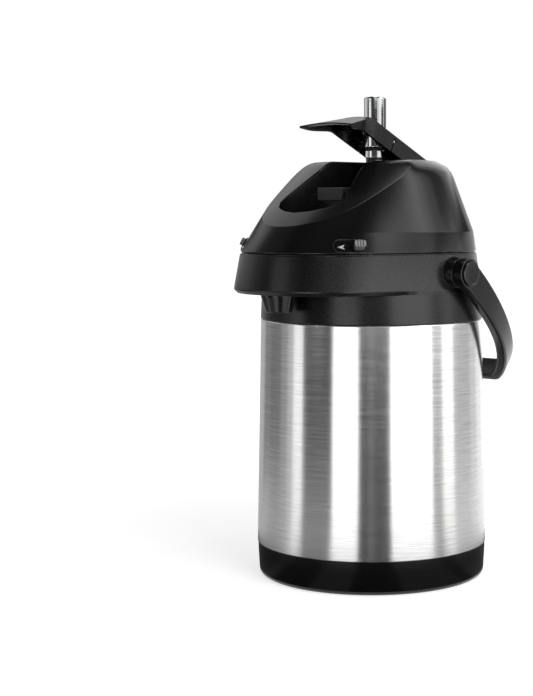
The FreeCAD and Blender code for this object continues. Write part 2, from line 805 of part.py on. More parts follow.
def keeper_room():
    """Space behind the cheek that the latch keeper sweeps, with running clearance all round."""
    play = mm("running_gap")
    half_length = mm("latch_pad_length") / 2.0 + play
    half_height = mm("latch_pad_height") / 2.0 + play
    sweep = block((latch_rest - mm("latch_travel") - half_length, -half_height,
                   latch_back - mm("latch_keeper") - play),
                  (latch_rest + half_length, half_height, 0))
    return placed(sweep, latch_frame())


def latch_cut():
    """Oval finger recess in the cheek, and the slot its stem slides in."""
    stand = mm("latch_pad_stand")
    recess = stadium(mm("latch_oval_length"), mm("latch_oval_height"), -mm("latch_recess"), stand)
    play = mm("running_gap")
    stem = mm("latch_stem") / 2.0 + play
    depth = 2 * wall
    slot = block((latch_rest - mm("latch_travel") - stem, -stem, -depth),
                 (latch_rest + stem, stem, stand))
    return placed(recess.fuse(slot), latch_frame())


def screw_spots():
    """Plan positions of the four screws under the head."""
    spots = []
    for y in (mm("screw_back"), -mm("screw_front")):
        for x in (mm("screw_half"), -mm("screw_half")):
            spots.append(Vector(x, y, 0))
    return spots


def screw_columns(radius, low, high):
    """A cylinder at each screw position."""
    return [Part.makeCylinder(radius, high - low, spot + Vector(0, 0, low))
            for spot in screw_spots()]


def make_head():
    """Moulded head: sloping walls under a crowned deck, hollow, with the lever pocket sunk in."""
    crest = crest_stations()
    lower = egg_loft([foot_station, band_station, brow_station])
    upper = egg_loft([brow_station] + crest, ruled=False)
    outer = lower.fuse(upper).common(under_deck(0.0))
    below = (float(head_foot) - mm("seam_gap"),) + foot_station[1:]
    inner_walls = [inset(item, wall) for item in (below, foot_station, band_station, brow_station)]
    inner_crest = [inset(item, wall) for item in crest]
    cavity = egg_loft(inner_walls).fuse(egg_loft([inner_walls[-1]] + inner_crest, ruled=False))
    cavity = cavity.common(under_deck(wall))
    columns = screw_columns(mm("screw_post_radius"), float(underplate_top), mm("crest_height"))
    cavity = cavity.cut([pocket_space(mm("pocket_wall"))] + columns)
    tower = block((-mm("tower_half"), -mm("shelf_front"), mm("shelf_height") - mm("pocket_wall")),
                  (mm("tower_half"), -mm("tower_back"), mm("tower_top")))
    lug = rod_x(mm("knuckle_radius"), -mm("lug_half"), mm("lug_half"), hinge_y, hinge_z)
    lug = lug.fuse(block((-mm("lug_half"), mm("seam_back") - wall, float(head_foot)),
                         (mm("lug_half"), hinge_y, hinge_z + mm("knuckle_radius"))))
    pocket = pocket_space(0.0).cut(tower)
    channel_wall = mm("channel_half") + mm("pocket_wall")
    cuts = [cavity, pocket,
            rod_x(mm("hinge_pin_radius") + mm("push_fit"), -mm("lug_half"), mm("lug_half"),
                  hinge_y, hinge_z),
            rod_x(mm("lever_pin_radius") + mm("push_fit"), -channel_wall, channel_wall,
                  mm("lever_hinge_reach"), mm("lever_hinge_height")),
            Part.makeCylinder(float(guide_radius), mm("crest_height"),
                              Vector(0, mm("post_reach"), mm("casing_top")))]
    cuts += both_sides(latch_cut())
    cuts += screw_columns(mm("screw_radius") + mm("push_fit"), float(underplate_top),
                          float(head_foot) + mm("screw_length"))
    return outer.fuse(lug).cut(cuts)


shaped("head_shell", make_head())

# Lid underplate: flat cover that closes the head from below and carries the bellows
def make_underplate():
    """An egg-shaped plate let into the head's foot, with the air port and four screw holes."""
    clear = wall + mm("plate_gap")
    top = inset(between(foot_station, band_station, float(underplate_top)), clear)
    foot = (float(head_foot),) + top[1:]
    plate = egg_loft([foot, top])
    port = Part.makeCylinder(mm("air_port_radius"), mm("crest_height"),
                             Vector(0, mm("post_reach"), mm("casing_top")))
    holes = screw_columns(mm("screw_radius") + mm("push_fit"), mm("casing_top"), mm("crest_height"))
    return plate.cut([port] + holes + both_sides(keeper_room()))


shaped("lid_underplate", make_underplate())


def make_screw(spot):
    """A pan-head screw driven upwards through the underplate."""
    foot = float(head_foot)
    head = Part.makeCylinder(mm("screw_head"), mm("screw_radius"),
                             spot + Vector(0, 0, foot - mm("screw_radius")))
    shank = Part.makeCylinder(mm("screw_radius"), mm("screw_length") - mm("push_fit"),
                              spot + Vector(0, 0, foot))
    return head.fuse(shank)


shaped("lid_screws", Part.makeCompound([make_screw(spot) for spot in screw_spots()]))

# Air seal: rubber sleeve that joins the air port to the stopper when the lid is shut
seal_bore = size("air_port_radius")
turned("air_seal", [
    (seal_bore, flange_top + size("running_gap")),
    (seal_bore + size("seal_wall"), flange_top + size("running_gap")),
    (seal_bore + size("seal_wall"), head_foot), (seal_bore, head_foot),
], behind=behind_axis)

# Air valve: rubber mushroom whose stem sits in the air port
valve_lip = size("seal_wall") / 2
turned("air_valve", [
    (0, head_foot), (size("air_port_radius") - size("push_fit"), head_foot),
    (size("air_port_radius") - size("push_fit"), underplate_top),
    (size("valve_radius"), underplate_top), (size("valve_radius"), underplate_top + valve_lip),
    (0, underplate_top + valve_lip),
], behind=behind_axis)

# Bellows: folded rubber sleeve between the underplate and the plunger plate
fold_count = 4
fold_rise = (bellows_top - bellows_foot) / (2 * fold_count)
inner_fold = size("bellows_radius") - size("bellows_fold")
outside = [(size("bellows_radius") if step % 2 else inner_fold, bellows_foot + fold_rise * step)
           for step in range(2 * fold_count + 1)]
inside = [(radius - size("bellows_wall"), height) for radius, height in reversed(outside)]
turned("bellows", outside + inside, behind=behind_axis)


def make_spring():
    """Coil of quarter-turn arcs between the underplate and the plunger plate."""
    radius = mm("spring_radius")
    wire = mm("spring_wire") / 2.0
    low = float(bellows_foot) + wire
    climb = float(bellows_top) - wire - low
    steps = int(round(mm("spring_turns") * 8))
    points = []
    for step in range(steps + 1):
        angle = 2.0 * math.pi * mm("spring_turns") * step / steps
        points.append(Vector(radius * math.cos(angle), mm("post_reach") + radius * math.sin(angle),
                             low + climb * step / steps))
    edges = [Part.Arc(*points[index:index + 3]).toShape() for index in range(0, steps, 2)]
    heading = points[1] - points[0]
    ring = Part.Wire(Part.Circle(points[0], Vector(0, heading.y, heading.z), wire).toShape())
    return Part.Wire(edges).makePipeShell([ring], True, False)


shaped("return_spring", make_spring())

# Plunger plate, rod and chrome post: one stack that slides down through the head
turned("plunger_plate", [
    (0, plunger_foot), (size("plunger_plate_radius"), plunger_foot),
    (size("plunger_plate_radius"), size("plunger_plate_top")), (0, size("plunger_plate_top")),
], behind=behind_axis)
turned("plunger_rod", [
    (0, size("plunger_plate_top")), (size("rod_radius"), size("plunger_plate_top")),
    (size("rod_radius"), size("post_foot")), (0, size("post_foot")),
], behind=behind_axis)
groove_top = size("groove_height") + size("groove_width")
socket_foot = size("post_top") - size("spigot_depth") - size("running_gap")
socket_radius = size("spigot_radius") + size("push_fit")
post = turned("plunger_post", [
    (0, size("post_foot")), (size("band_radius"), size("post_foot")),
    (size("band_radius"), size("groove_height")), (size("groove_radius"), size("groove_height")),
    (size("groove_radius"), groove_top), (size("post_radius"), groove_top),
    (size("post_radius"), size("post_top")), (socket_radius, size("post_top")),
    (socket_radius, socket_foot), (0, socket_foot),
], behind=behind_axis)
slot_half = size("cross_pin_radius") + size("cross_pin_play")
slot_reach = slot_half + size("cross_pin_reach") - size("post_reach")
slot_sketch = new_sketch(post, "YZ_Plane")
draw_polygon(slot_sketch, [
    (as_size(0) - slot_reach, size("cross_pin_height") - slot_half),
    (slot_reach, size("cross_pin_height") - slot_half),
    (slot_reach, size("cross_pin_height") + slot_half),
    (as_size(0) - slot_reach, size("cross_pin_height") + slot_half),
])
doc.recompute()
solid_post = post.Tip.Shape.Volume
slot = post.newObject("PartDesign::Pocket", "plunger_post_slot")
slot.Profile = slot_sketch
slot.Type = "ThroughAll"
slot.Midplane = True
post.Tip = slot
doc.recompute()
if slot.Shape.Volume >= solid_post:
    raise RuntimeError("the plunger post's slot cut nothing")

# Guide bush: sleeve on the pocket shelf that keeps the post upright
turned("guide_bush", [
    (guide_radius, size("shelf_height")), (guide_radius + size("bush_wall"), size("shelf_height")),
    (guide_radius + size("bush_wall"), size("bush_top")), (guide_radius, size("bush_top")),
], behind=behind_axis)

# Lock knob: turned chrome cap whose spigot rotates in the post
knob_foot = size("post_top") + size("running_gap")
turned("lock_knob", [
    (0, size("post_top") - size("spigot_depth")), (size("spigot_radius"), size("post_top")
                                                   - size("spigot_depth")),
    (size("spigot_radius"), knob_foot), (size("knob_radius"), knob_foot),
    (size("knob_radius"), size("knob_top")), (0, size("knob_top")),
], rings=[(size("knob_radius"), size("knob_top"), size("knob_round"))], behind=behind_axis)

lever_y = mm("lever_hinge_reach")
lever_z = mm("lever_hinge_height")
tip = Vector(0, -mm("tip_reach"), mm("tip_height"))
knee = Vector(0, -mm("knee_reach"), mm("knee_height"))


def arm_top_at(y):
    """Height of the arm's straight top line, which is tangent to the hinge lug."""
    pivot = Vector(0, lever_y, lever_z)
    span = pivot - knee
    dip = math.atan2(-span.z, span.y) - math.asin(mm("lug_radius") / span.Length)
    return mm("knee_height") - (y - knee.y) * math.tan(dip), dip


def side_profile(drawn_in, below):
    """Side outline of the lever drawn in from the top by a wall, as an (y, z) polygon at X = 0."""
    _, dip = arm_top_at(0.0)
    top_drop = drawn_in / math.cos(dip)
    depth = mm("arm_depth") / math.cos(dip) + below
    rear_y = lever_y
    rear_z = arm_top_at(rear_y)[0]
    under_tip = mm("tip_height") - mm("tip_thickness") - below
    corner_y = knee.y + (mm("knee_height") - depth - under_tip) / math.tan(dip)
    points = [Vector(0, tip.y + drawn_in, tip.z - drawn_in), knee - Vector(0, 0, top_drop),
              Vector(0, rear_y, rear_z - top_drop), Vector(0, rear_y, rear_z - depth),
              Vector(0, corner_y, under_tip), Vector(0, tip.y + drawn_in, under_tip)]
    return Part.Face(Part.makePolygon(points + points[:1]))


def across(face, half):
    """A side outline extruded to both sides of the middle plane."""
    solid = face.extrude(Vector(2 * half, 0, 0))
    solid.translate(Vector(-half, 0, 0))
    return solid


def lever_plan(drawn_in):
    """Plan prism of the lever: a paddle widest at its tip, drawing in to the straight arm."""
    half_tip = mm("paddle_half") - drawn_in
    half_arm = mm("arm_half") - drawn_in
    rear = lever_y + 2 * mm("lug_radius")
    right = [Vector(half_tip, tip.y + drawn_in, 0), Vector(half_arm, -mm("arm_start"), 0),
             Vector(half_arm, rear, 0)]
    left = [Vector(-point.x, point.y, 0) for point in reversed(right)]
    prism = Part.Face(Part.makePolygon(right + left + right[:1])).extrude(
        Vector(0, 0, mm("knob_top")))
    return prism


def make_lever():
    """Moulded channel lever: thin paddle, knee, arm with two side walls, and hinge lugs."""
    skin = mm("lever_wall")
    lug = rod_x(mm("lug_radius"), -mm("arm_half"), mm("arm_half"), lever_y, lever_z)
    outer = across(side_profile(0.0, 0.0), mm("paddle_half")).fuse(lug).common(lever_plan(0.0))
    hollow = across(side_profile(skin, mm("arm_depth")), mm("paddle_half"))
    inner_half = mm("arm_half") - skin
    hollow = hollow.fuse(block((-inner_half, 0, lever_z - 2 * mm("lug_radius")),
                               (inner_half, lever_y + 2 * mm("lug_radius"), lever_z)))
    throw = math.radians(mm("lever_throw"))
    post_y = mm("post_reach")
    reach = mm("knob_radius") + mm("lever_post_gap")
    pressed_back = (post_y + reach - lever_y) * math.cos(throw) + mm("lug_radius") * math.sin(throw)
    slot_side = mm("knob_radius") + mm("lever_post_gap")
    slot_box = block((-slot_side, post_y - reach, lever_z), (slot_side, lever_y + pressed_back,
                                                             mm("knob_top")))
    _, dip = arm_top_at(0.0)
    slit = block((-mm("arm_half"), -mm("assembly_slit") / 2, -2 * mm("arm_depth")),
                 (mm("arm_half"), mm("assembly_slit") / 2, 0))
    pin_at = Vector(0, mm("cross_pin_reach"), mm("cross_pin_height"))
    slit = placed(slit, Placement(pin_at, Rotation(Vector(1, 0, 0), -math.degrees(dip))))
    half = mm("arm_half")
    cuts = [hollow.common(lever_plan(skin)), slot_box, slit,
            rod_x(mm("cross_pin_radius") + mm("push_fit"), -half, half, pin_at.y, pin_at.z),
            rod_x(mm("lever_pin_radius") + mm("push_fit"), -half, half, lever_y, lever_z)]
    return outer.cut(cuts)


shaped("lever", make_lever())
cross_bar("lever_cross_pin", size("cross_pin_radius"), size("arm_half"), size("cross_pin_reach"),
          size("cross_pin_height"))
cross_bar("lever_hinge_pin", size("lever_pin_radius"), size("channel_half") + size("pocket_wall"),
          size("lever_hinge_reach"), size("lever_hinge_height"))


def make_latch():
    """Right latch slider: ribbed thumb pad, stem through the cheek, and a keeper behind it."""
    floor = -mm("latch_recess") + mm("running_gap")
    half_length = mm("latch_pad_length") / 2.0
    half_height = mm("latch_pad_height") / 2.0
    stem = mm("latch_stem") / 2.0
    back = latch_back
    pad = block((-half_length, -half_height, floor), (half_length, half_height,
                                                      floor + mm("latch_pad_stand")))
    rib = mm("latch_pad_length") / 7.0
    grooves = []
    for step in (-2, 0, 2):
        grooves.append(block((step * rib - rib / 2, -half_height, floor + mm("latch_pad_stand") - rib / 2),
                             (step * rib + rib / 2, half_height, floor + mm("latch_pad_stand"))))
    shaft = block((-stem, -stem, back), (stem, stem, floor))
    keeper = block((-half_length, -half_height, back - mm("latch_keeper")),
                   (half_length, half_height, back))
    latch = pad.cut(grooves).fuse([shaft, keeper])
    latch.translate(Vector(latch_rest, 0, 0))
    return placed(latch, latch_frame())


right_latch = make_latch()
shaped("latch_right", right_latch)
shaped("latch_left", mirrored(right_latch))


def make_handle():
    """Moulded bail: bowed arms and a straight grip between two eyes, drawn flat, then swung down."""
    outer_half = mm("handle_outer_half")
    thickness = mm("handle_thickness")
    inner_reach = mm("handle_inner_reach")
    depth = mm("handle_depth")
    band = []
    for drawn_in in (0.0, thickness):
        half = outer_half - drawn_in
        reach = inner_reach + thickness - drawn_in
        oval = Part.Ellipse(Vector(0, mm("handle_bow") - drawn_in, 0), Vector(half, 0, 0), Vector(0, 0, 0))
        bow = Part.ArcOfEllipse(oval, -math.pi / 2, math.pi / 2)
        shut = Part.LineSegment(bow.EndPoint, bow.StartPoint)
        face = Part.Face(Part.Wire([bow.toShape(), shut.toShape()]))
        solid = face.extrude(Vector(0, 0, depth))
        solid.translate(Vector(0, 0, -depth / 2))
        solid = solid.common(block((-half, 0, -depth), (half, reach, depth)))
        corners = [edge for edge in solid.Edges
                   if edge.BoundBox.ZLength > depth / 2 and edge.BoundBox.YMin > reach / 2]
        band.append(solid.makeFillet(mm("handle_corner") - drawn_in / 2, corners))
    bail = band[0].cut(band[1])
    long_edges = [edge for edge in bail.Edges
                  if edge.BoundBox.ZLength < depth / 2 and edge.BoundBox.YMax > thickness]
    bail = bail.makeFillet(mm("handle_round"), long_edges)
    eye = rod_x(mm("eye_radius"), outer_half - thickness, outer_half, 0, 0)
    bore = rod_x(mm("handle_pin_radius") + mm("push_fit"), outer_half - 2 * thickness, outer_half, 0, 0)
    bail = bail.fuse(both_sides(eye)).cut(both_sides(bore))
    swing = Rotation(Vector(1, 0, 0), -mm("handle_droop"))
    return placed(bail, Placement(Vector(0, 0, pivot_z), swing))


shaped("handle_bail", make_handle())
shaped("handle_caps", Part.makeCompound(both_sides(rod_x(
    mm("cap_radius"), mm("handle_outer_half"), mm("handle_outer_half") + mm("cap_thickness"),
    0, pivot_z))))

doc.recompute()
for item in doc.Objects:
    if "Invalid" in item.State or "Error" in item.State:
        raise RuntimeError(item.Label + " failed: " + str(item.State))

pieces = [item for item in doc.RootObjects if item.isDerivedFrom("Part::Feature")]
for piece in pieces:
    if piece.Shape.isNull() or not piece.Shape.isValid() or not piece.Shape.Solids:
        raise RuntimeError(piece.Label + " has no sound solid")

os.makedirs("parts", exist_ok=True)
for piece in pieces:
    piece.Shape.exportStep(os.path.join("parts", piece.Label + ".step"))
    print(f"{piece.Label}: {len(piece.Shape.Solids)} solid(s), {piece.Shape.Volume / 1000:.1f} cm3")
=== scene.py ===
"""Lever pump pot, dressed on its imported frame. Metres, +Z up, spout towards -Y, origin under the axis."""
import bmesh
import bpy
import math
from mathutils import Matrix, Vector


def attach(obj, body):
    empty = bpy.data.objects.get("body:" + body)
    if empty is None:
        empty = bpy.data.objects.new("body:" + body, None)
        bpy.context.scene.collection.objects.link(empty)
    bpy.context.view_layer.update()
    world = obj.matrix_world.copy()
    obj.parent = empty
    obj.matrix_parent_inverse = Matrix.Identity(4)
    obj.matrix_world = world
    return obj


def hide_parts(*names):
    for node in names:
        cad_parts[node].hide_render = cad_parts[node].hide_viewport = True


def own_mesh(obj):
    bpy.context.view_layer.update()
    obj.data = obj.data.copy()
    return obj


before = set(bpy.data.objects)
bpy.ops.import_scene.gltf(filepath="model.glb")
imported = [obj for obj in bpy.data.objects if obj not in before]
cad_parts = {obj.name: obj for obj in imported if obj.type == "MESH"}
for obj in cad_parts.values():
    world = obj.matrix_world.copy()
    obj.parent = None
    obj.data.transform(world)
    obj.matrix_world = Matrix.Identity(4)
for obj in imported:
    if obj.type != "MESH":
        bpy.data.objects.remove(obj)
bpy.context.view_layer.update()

# Base ring: a shallow cup moulded in satin black plastic. The steel casing drops over its spigot,
# and an anti-slip disc of rubber is pressed into the recess underneath.
MM = 0.001
TRIM_SHARE = 0.49


def soft_corners(corners, closed=True, steps=4):
    """A flat outline from (across, up, radius) corners, each corner with a radius drawn as an arc."""
    points = []
    count = len(corners)
    for number, (across, up, radius) in enumerate(corners):
        here = Vector((across, up))
        end = not closed and number in (0, count - 1)
        if radius <= 0 or end:
            points.append(here)
            continue
        before = Vector(corners[number - 1][:2]) - here
        after = Vector(corners[(number + 1) % count][:2]) - here
        half = before.angle(after) / 2
        trim = min(radius / math.tan(half), TRIM_SHARE * before.length, TRIM_SHARE * after.length)
        start = here + before.normalized() * trim
        finish = here + after.normalized() * trim
        middle = here + (before.normalized() + after.normalized()).normalized() * trim / math.cos(half)
        sweep = (finish - middle).angle_signed(start - middle)
        for step in range(steps + 1):
            turn = Matrix.Rotation(sweep * step / steps, 2)
            points.append(middle + turn @ (start - middle))
    return points


def placed(name, mesh):
    """An object for a mesh, put into the scene."""
    made = bpy.data.objects.new(name, mesh)
    bpy.context.scene.collection.objects.link(made)
    return made


def piece_from(name, corners, faces):
    """An object with smooth faces from corner points and face lists."""
    mesh = bpy.data.meshes.new(name)
    mesh.from_pydata([tuple(corner) for corner in corners], [], faces)
    mesh.update()
    made = placed(name, mesh)
    sound = bmesh.new()
    sound.from_mesh(mesh)
    bmesh.ops.remove_doubles(sound, verts=sound.verts, dist=1e-7)
    bmesh.ops.dissolve_degenerate(sound, edges=sound.edges, dist=1e-8)
    bmesh.ops.recalc_face_normals(sound, faces=sound.faces)
    sound.to_mesh(mesh)
    sound.free()
    mesh.shade_smooth()
    return made


def rings_to_faces(count, size, closed_across, closed_along=True):
    """Quads between successive rings of points."""
    faces = []
    for ring in range(count if closed_across else count - 1):
        after = (ring + 1) % count
        for spot in range(size if closed_along else size - 1):
            beside = (spot + 1) % size
            faces.append((ring * size + spot, ring * size + beside,
                          after * size + beside, after * size + spot))
    return faces


def even_shading(piece):
    """Weighted normals, so that flats stay flat right up to their rounded edges."""
    weighted = piece.modifiers.new("even_shading", "WEIGHTED_NORMAL")
    weighted.weight = 80
    weighted.keep_sharp = True
    return piece


def turned(name, corners, turns=192, middle=(0.0, 0.0)):
    """A piece turned about a vertical axis from (radius, height, corner radius), in millimetres."""
    closed = corners[0][0] > 0
    outline = soft_corners(corners, closed)
    points = []
    for step in range(turns):
        angle = 2 * math.pi * step / turns
        for radius, height in outline:
            points.append(Vector((middle[0] + radius * math.cos(angle), middle[1] + radius * math.sin(angle),
                                  height)) * MM)
    faces = rings_to_faces(turns, len(outline), True, closed)
    return even_shading(piece_from(name, points, faces))


def new_finish(name):
    """A fresh node material, its shader, helpers that add and feed nodes, and a piece's own place."""
    finish = bpy.data.materials.new(name)
    finish.use_nodes = True
    nodes = finish.node_tree.nodes
    shader = nodes["Principled BSDF"]

    def add(kind, links=None, **settings):
        node = nodes.new(kind)
        for key, value in settings.items():
            setattr(node, key, value)
        for socket, source in (links or {}).items():
            if isinstance(source, bpy.types.NodeSocket):
                finish.node_tree.links.new(source, node.inputs[socket])
            else:
                node.inputs[socket].default_value = source
        return node

    def feed(socket, source):
        finish.node_tree.links.new(source, shader.inputs[socket])

    return finish, shader, add, feed, add("ShaderNodeTexCoord").outputs["Object"]


def noise(add, place, scale, detail, rough=0.5):
    """A cloudy pattern."""
    return add("ShaderNodeTexNoise", {"Vector": place, "Scale": scale, "Detail": detail,
                                      "Roughness": rough}).outputs["Fac"]


def ranged(add, value, low, high, to_low, to_high, **settings):
    """One range of values carried over to another."""
    return add("ShaderNodeMapRange", {"Value": value, "From Min": low, "From Max": high, "To Min": to_low,
                                      "To Max": to_high}, **settings).outputs[0]


def blend(add, share, first, second, **settings):
    """A mix of two colours."""
    return add("ShaderNodeMix", {0: share, 6: first, 7: second}, data_type="RGBA", **settings).outputs[2]


def surface(add, feed, colour, gloss, height, strength, distance):
    """Feed a colour, a gloss and a fine relief to the shader."""
    relief = add("ShaderNodeBump", {"Height": height, "Strength": strength, "Distance": distance})
    feed("Base Color", colour)
    feed("Roughness", gloss)
    feed("Normal", relief.outputs["Normal"])


def moulded_plastic(name, dark, light, rough_low, rough_high, grain=0.03, edge_wear_and_highlight=0.03):
    """Moulded plastic: faint flow marks, spark-eroded grain, uneven gloss, and edges made paler, partly as
    rub wear and partly as a painted highlight.
    """
    finish, shader, add, feed, place = new_finish(name)
    skin = noise(add, place, 2600.0, 2.0, 0.55)
    rubbed = noise(add, place, 420.0, 5.0, 0.7)
    tint = blend(add, noise(add, place, 35.0, 4.0, 0.6), (*dark, 1), (*light, 1))
    # Sharp convex edges, masked by pointiness and a cloudy pattern, turn paler: partly rub wear, partly a
    # painted edge highlight.
    edge = ranged(add, add("ShaderNodeNewGeometry").outputs["Pointiness"], 0.53, 0.62, 0.0, 1.0)
    worn_and_highlit_edges = add("ShaderNodeMath", {0: edge, 1: rubbed}, operation="MULTIPLY")
    pale = tuple(channel + edge_wear_and_highlight for channel in light)
    colour = blend(add, worn_and_highlit_edges.outputs[0], tint, (*pale, 1))
    surface(add, feed, colour, ranged(add, rubbed, 0.3, 0.7, rough_low, rough_high), skin, grain, 0.0004)
    shader.inputs["IOR"].default_value = 1.48
    return finish


def paint(finish, *nodes):
    """Give carried-over CAD nodes their finish."""
    for node in nodes:
        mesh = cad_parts[node].data
        mesh.materials.clear()
        mesh.materials.append(finish)
        mesh.shade_smooth()


def dress(piece, body, finish, slot, *nodes):
    """Finish a new piece, hang it on its body and let it stand for CAD nodes."""
    piece.data.materials.clear()
    piece.data.materials.append(finish)
    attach(piece, body)
    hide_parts(*nodes)


BLACK_DARK, BLACK_LIGHT = (0.003, 0.003, 0.0032), (0.005, 0.005, 0.0052)
satin_black = moulded_plastic("satin_black_plastic", BLACK_DARK, BLACK_LIGHT, 0.17, 0.23)


def in_black(piece, body, node):
    """Dress a piece in the black that most of the pot is moulded in."""
    dress(piece, body, satin_black, "satin_black", node)


BASE_TOP, BASE_RADIUS, FOOT_RADIUS = 24.0, 82.6, 81.4
PAD_RECESS, BASE_STAND, BASE_WAIST = 68.05, 0.4, 17.0
SPIGOT_RADIUS, SPIGOT_TOP, CUP_INSIDE = 81.9, 29.0, 78.6
CUP_HOLE, CUP_UNDER, CUP_FLOOR = 30.0, 2.0, 5.0
base_ring = turned("base_ring_cup", [
    (PAD_RECESS, BASE_STAND, 0.3), (FOOT_RADIUS, BASE_STAND, 3.4), (BASE_RADIUS - 0.2, BASE_WAIST, 20.0),
    (BASE_RADIUS, BASE_TOP, 0.5), (SPIGOT_RADIUS, BASE_TOP, 0.0), (SPIGOT_RADIUS, SPIGOT_TOP, 0.6),
    (CUP_INSIDE, SPIGOT_TOP, 0.6), (CUP_INSIDE, CUP_FLOOR, 2.0), (CUP_HOLE, CUP_FLOOR, 0.0),
    (CUP_HOLE, CUP_UNDER, 0.0), (PAD_RECESS, CUP_UNDER, 0.3)])
in_black(base_ring, "pot", "base_ring")
rubber = moulded_plastic("black_rubber", (0.014, 0.014, 0.014), (0.022, 0.021, 0.020), 0.62, 0.78, grain=0.12)
paint(rubber, "foot_pad")

# Steel casing: a drawn and slightly tapered stainless tube, brushed round and round on a lathe.
# Its lower edge stands on the base ring, and its shoulder and neck are hidden by the collar.
CASING_FOOT, CASING_TOP, CASING_RISE, SHEET = 83.0, 80.3, 185.0, 0.8
SHOULDER, SHOULDER_Z = 77.7, 191.0
NECK_RADIUS, NECK_FOOT, NECK_TOP = 48.8, 201.5, 214.0
HAIR_LINES = ((60.0, 2900.0), (26.0, 1400.0))


def brushed_steel(name, tint, rough_low, rough_high):
    """Stainless steel brushed round the axis: hair lines, uneven gloss and upright, stretched glints."""
    finish, shader, add, feed, place = new_finish(name)
    lines = []
    for length, stretch in HAIR_LINES:
        drawn = add("ShaderNodeMapping", {"Vector": place, "Scale": (length, length, stretch)})
        lines.append(noise(add, drawn.outputs[0], 1.0, 2.0, 0.6))
    hair = add("ShaderNodeMath", {0: lines[0], 1: lines[1]}, operation="ADD").outputs[0]
    shade = ranged(add, hair, 0.7, 1.3, 0.8, 1.07)
    colour = blend(add, 1.0, (*tint, 1), shade, blend_type="MULTIPLY")
    surface(add, feed, colour, ranged(add, hair, 0.6, 1.4, rough_low, rough_high), hair, 0.006, 0.0002)
    feed("Tangent", add("ShaderNodeTangent", direction_type="RADIAL", axis="Z").outputs[0])
    shader.inputs["Metallic"].default_value = 1.0
    shader.inputs["Anisotropic"].default_value = 0.9
    shader.inputs["Anisotropic Rotation"].default_value = 0.25
    return finish


casing_steel = brushed_steel("brushed_casing_steel", (0.88, 0.88, 0.875), 0.2, 0.27)
casing = turned("steel_casing", [
    (CASING_FOOT - SHEET, BASE_TOP, 0.2), (CASING_FOOT, BASE_TOP, 0.5), (CASING_TOP, CASING_RISE, 1.6),
    (SHOULDER, CASING_RISE, 1.0), (SHOULDER, SHOULDER_Z, 2.0), (NECK_RADIUS, NECK_FOOT, 2.0),
    (NECK_RADIUS, NECK_TOP, 0.2), (NECK_RADIUS - SHEET, NECK_TOP, 0.2),
    (NECK_RADIUS - SHEET, NECK_FOOT - SHEET, 2.0),
    (SHOULDER - SHEET, SHOULDER_Z - SHEET, 2.0),
    (SHOULDER - SHEET, CASING_RISE - SHEET, 1.0),
    (CASING_TOP - SHEET, CASING_RISE - SHEET, 1.0)], turns=256)
dress(casing, "pot", casing_steel, "brushed_steel", "outer_casing")

# Flask, stopper and drink tube: a drawn steel bottle welded inside the casing, closed by a moulded plug.
# A rubber ring seals the plug, and a stiff tube and a silicone elbow lead the drink to the spout.
flask_steel = brushed_steel("drawn_flask_steel", (0.62, 0.62, 0.61), 0.24, 0.38)
inner_plastic = moulded_plastic("inner_grey_plastic", (0.16, 0.16, 0.165), (0.20, 0.20, 0.20), 0.42, 0.55)
paint(flask_steel, "inner_flask", "casing_bottom")
paint(inner_plastic, "stopper", "dip_tube")
SEAL_INSIDE, SEAL_OUTSIDE, SEAL_LOW, SEAL_HIGH = 45.3, 48.7, 215.0, 217.0
stopper_ring = turned("stopper_seal_ring", [
    (SEAL_INSIDE, SEAL_LOW, 0.4), (SEAL_OUTSIDE, SEAL_LOW, 0.6), (SEAL_OUTSIDE, SEAL_HIGH, 0.6),
    (SEAL_INSIDE, SEAL_HIGH, 0.4)], turns=128)
dress(stopper_ring, "pot", rubber, "black_rubber", "stopper_gasket")


def capped_faces(count, size):
    """Quads between successive rings, with the first and the last ring closed."""
    last = (count - 1) * size
    return rings_to_faces(count, size, False) + [tuple(range(size)), tuple(range(last, last + size))]


def tube_along(name, path, radius, sides=20):
    """A round bar along a path given in metres, with closed ends."""
    points = []
    lead = (path[1] - path[0]).normalized()
    up = lead.orthogonal().normalized()
    for number, spot in enumerate(path):
        before = path[max(number - 1, 0)]
        after = path[min(number + 1, len(path) - 1)]
        heading = (after - before).normalized()
        up = (up - heading * up.dot(heading)).normalized()
        side = heading.cross(up)
        for step in range(sides):
            angle = 2 * math.pi * step / sides
            points.append(spot + (up * math.cos(angle) + side * math.sin(angle)) * radius)
    return piece_from(name, points, capped_faces(len(path), sides))


NOZZLE_Y, HOSE_Z, HOSE_END_Z = -95.0, 226.3, 212.0
HOSE_RADIUS, HOSE_BEND, BEND_STEPS = 4.0, 6.0, 8
BEND_Y = NOZZLE_Y + HOSE_BEND
hose_line = [Vector((0, y, HOSE_Z)) for y in (-62.0, -75.0, BEND_Y)]
for step in range(1, BEND_STEPS + 1):
    turn = math.pi / 2 * step / BEND_STEPS
    drop = HOSE_Z - HOSE_BEND + HOSE_BEND * math.cos(turn)
    hose_line.append(Vector((0, BEND_Y - HOSE_BEND * math.sin(turn), drop)))
hose_line.append(Vector((0, NOZZLE_Y, HOSE_END_Z)))
hose = tube_along("outlet_elbow", [spot * MM for spot in hose_line], HOSE_RADIUS * MM)


def milky_silicone(name):
    """Soft translucent silicone: milky body, faint cloud and a waxy skin."""
    finish, shader, add, feed, place = new_finish(name)
    cloud = noise(add, place, 160.0, 3.0)
    feed("Base Color", blend(add, cloud, (0.62, 0.64, 0.63, 1), (0.74, 0.75, 0.74, 1)))
    feed("Roughness", ranged(add, cloud, 0.0, 1.0, 0.32, 0.46))
    shader.inputs["Subsurface Weight"].default_value = 0.25
    shader.inputs["Subsurface Radius"].default_value = (0.004, 0.004, 0.004)
    return finish


dress(hose, "pot", milky_silicone("clear_silicone"), "clear_silicone", "outlet_hose")

